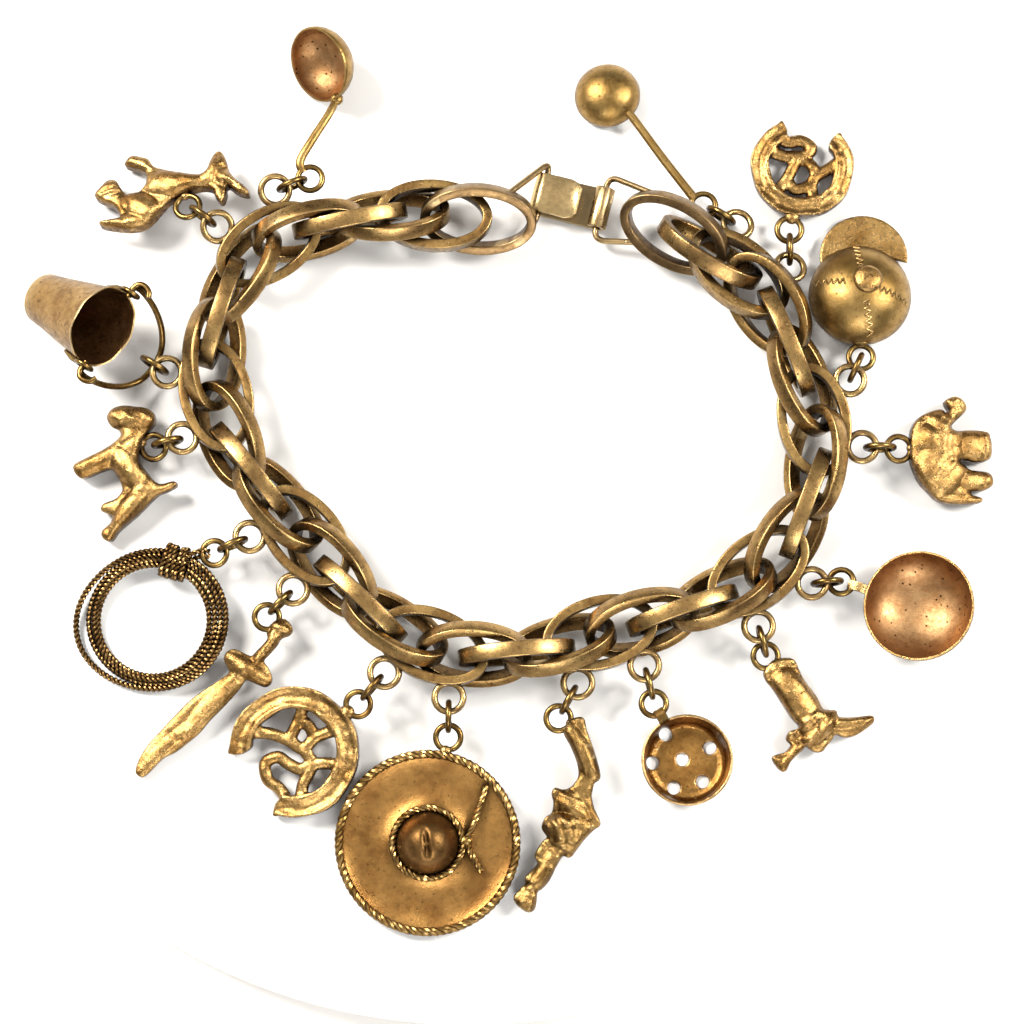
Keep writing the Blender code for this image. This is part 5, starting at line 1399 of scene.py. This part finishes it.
# %% [markdown]
# ## Bucket
#
# A tapered pail, dark inside, hanging by two ears on a bail whose ends are bent out. It is the one
# piece that moves: pail and ears ride on the body `bucket`, and the bail stays with the chain.

# %% Bucket
HINGE = (-45.56, 15.91, 9.10)
MOUTH = Vector((0.6861, -0.4287, 0.5878)).normalized()
BAIL_RUN = Vector((-0.5605, 0.3502, 0.7505)).normalized()
EAR_LINE = MOUTH.cross(Vector((0, 0, 1))).normalized()


def bucket():
    place = Matrix.Identity(4)
    place.col[0] = (*EAR_LINE, 0.0)
    place.col[1] = (*MOUTH.cross(EAR_LINE), 0.0)
    place.col[2] = (*MOUTH, 0.0)
    place.translation = HINGE
    rim, foot = -0.75, -11.35
    wall = [(0.0, foot + 0.15), (2.6, foot + 0.05), (2.9, foot), (2.98, foot + 0.2), (3.24, foot + 2.2)]
    wall += [(3.72, foot + 5.0), (4.2, foot + 7.8), (4.64, rim - 0.3), (4.72, rim - 0.05)]
    wall += [(4.66, rim + 0.06), (4.5, rim - 0.05)]
    lining = [(4.5, rim - 0.05), (4.36, rim - 0.4), (3.9, foot + 7.6), (3.35, foot + 4.6)]
    lining += [(2.75, foot + 1.6), (2.5, foot + 0.7), (0.0, foot + 0.6)]
    outside = solid("pail", [turned(wall, 96, closed=False)])
    inside = solid("pail_inside", [turned(lining, 96, closed=False)])
    for thing in (outside, inside):
        points = coordinates(thing)
        angles = np.arctan2(points[:, 1], points[:, 0])
        share = np.clip((points[:, 2] - (rim - 3)) / 3, 0, 1)
        points[:, 2] += share * (0.1 * np.sin(3 * angles + 1) + 0.07 * np.sin(8 * angles))
        points[:, :2] *= 1 + (0.006 * np.sin(2 * angles + 0.5) * share)[:, None]
        set_coordinates(thing, points)
    ear_forms = []
    for side in (-1, 1):
        ear = moved(ring(0.98, 0.56), put(side * 4.9, 0, 0) @ Matrix.Rotation(math.radians(90), 4, "Y"))
        ear_forms.append(ear)
        strap = [(side * 4.8, 0, rim - 0.1), (side * 4.6, 0, rim - 1.5), (side * 4.35, 0, rim - 3.0)]
        ear_forms.append(tube(strap, [0.42, 0.5, 0.2], 10))
    ears = solid("pail_ears", ear_forms)
    for thing, material, label in (
        (outside, PAIL, "bucket_outside"),
        (inside, INSIDE, "bucket_inside"),
        (ears, WIRE, "bucket_ears"),
    ):
        place_of(thing, place)
        thing.name = label
        dress(thing, material, "bucket", "bucket")


def bail():
    hinge = np.array(HINGE)
    across = np.array(EAR_LINE)
    run = np.array(BAIL_RUN)
    reach = 8.7
    span = 4.75 + 0.56 - 0.15 + 0.3 + 0.35

    def spot(side, along):
        return hinge + across * side - run * along

    half = [(4.4, 0.0), (span - 0.25, 0.0), (span, 0.3), (span, 0.2 * reach), (0.9 * span, 0.48 * reach)]
    half += [(0.68 * span, 0.76 * reach), (0.36 * span, 0.95 * reach), (0.0, reach)]
    path = [spot(s, a) for s, a in half] + [spot(-s, a) for s, a in half[-2::-1]]
    forms = [tube(smooth_line(path, 6), 0.36, 12)]
    level = np.array(Vector((0, 0, 1)).cross(EAR_LINE))
    for side in (-1, 1):
        hook = [(4.4, 0, 0), (5.5, -0.05, 0), (6.2, 0.3, 0.1), (6.35, 1.0, 0.2)]
        hook += [(6.05, 1.7, 0.25), (5.45, 2.05, 0.25)]
        line = [hinge + across * side * a + level * b + (0, 0, c) for a, b, c in hook]
        forms.append(tube(smooth_line(line, 6), 0.36, 12))
    middle = (-40.53, 12.77, 3.60)
    upright = Matrix.Translation(middle) @ turn_z(148.0) @ Matrix.Rotation(math.radians(90), 4, "X")
    forms.append(moved(ring(JUMP_RADIUS, RING_WIRE), upright))
    handle = solid("bail", forms)
    dress(handle, WIRE, "bucket_bail")


bucket()
bail()
print("bucket and bail")

# %% [markdown]
# ## Table and light
#
# The bracelet lies on a white turntable over a pale ground, under broad soft lamps. Polished metal
# shows what is round it. A picture of a room would do, but a plain gradient is the same each run.

# %% Stage


def plain(name, colour, roughness):
    material = bpy.data.materials.new(name)
    material.use_nodes = True
    shader = material.node_tree.nodes["Principled BSDF"]
    shader.inputs["Base Color"].default_value = linear(colour)
    shader.inputs["Roughness"].default_value = roughness
    return material


disc_profile = [(0.0, 0.0), (66.6, 0.0), (67.2, -0.25), (67.3, -0.8), (67.3, -4.0), (0.0, -4.0)]
disc = solid("turntable", [moved(turned(disc_profile, 256, closed=False), put(-4.6, 5.5, -0.02))])
disc.data.materials.append(plain("white_table", "F8F5F0", 0.6))
corners = [(-900, -900, -4), (900, -900, -4), (900, 900, -4), (-900, 900, -4)]
ground = solid("ground", [(np.array(corners, float), [(0, 1, 2, 3)])])
ground.data.materials.append(plain("pale_ground", "F8F5F0", 0.7))


def lamp(name, place, target, size, power, colour=(1.0, 1.0, 1.0)):
    data = bpy.data.lights.new(name, "AREA")
    data.shape = "DISK"
    data.size = size
    data.energy = power
    data.color = colour
    lamp_object = bpy.data.objects.new(name, data)
    lamp_object.location = place
    aim = Vector(target) - Vector(place)
    lamp_object.rotation_euler = aim.to_track_quat("-Z", "Y").to_euler()
    bpy.context.scene.collection.objects.link(lamp_object)


lamp("left_lamp", (-0.42, 0.28, 0.5), (0, 0, 0), 0.26, 7.2, (1.0, 0.98, 0.95))
lamp("right_lamp", (0.46, 0.1, 0.42), (0, 0, 0), 0.2, 3.6, (1.0, 0.99, 0.97))
lamp("near_lamp", (0.05, -0.55, 0.36), (0, 0, 0), 0.3, 2.2, (0.97, 0.98, 1.0))

world = bpy.data.worlds.new("world")
world.use_nodes = True
bpy.context.scene.world = world
tree = world.node_tree
direction = node(tree, "TexCoord").outputs["Generated"]
height = node(tree, "SeparateXYZ", Vector=direction).outputs[2]
sky = ramp(tree, height, [(0.0, 0.1), (0.4, 0.22), (0.72, 0.7), (1.0, 1.0)])
background = tree.nodes["Background"]
tree.links.new(sky, background.inputs["Color"])
background.inputs["Strength"].default_value = 0.62
bpy.context.scene.view_settings.view_transform = "Standard"
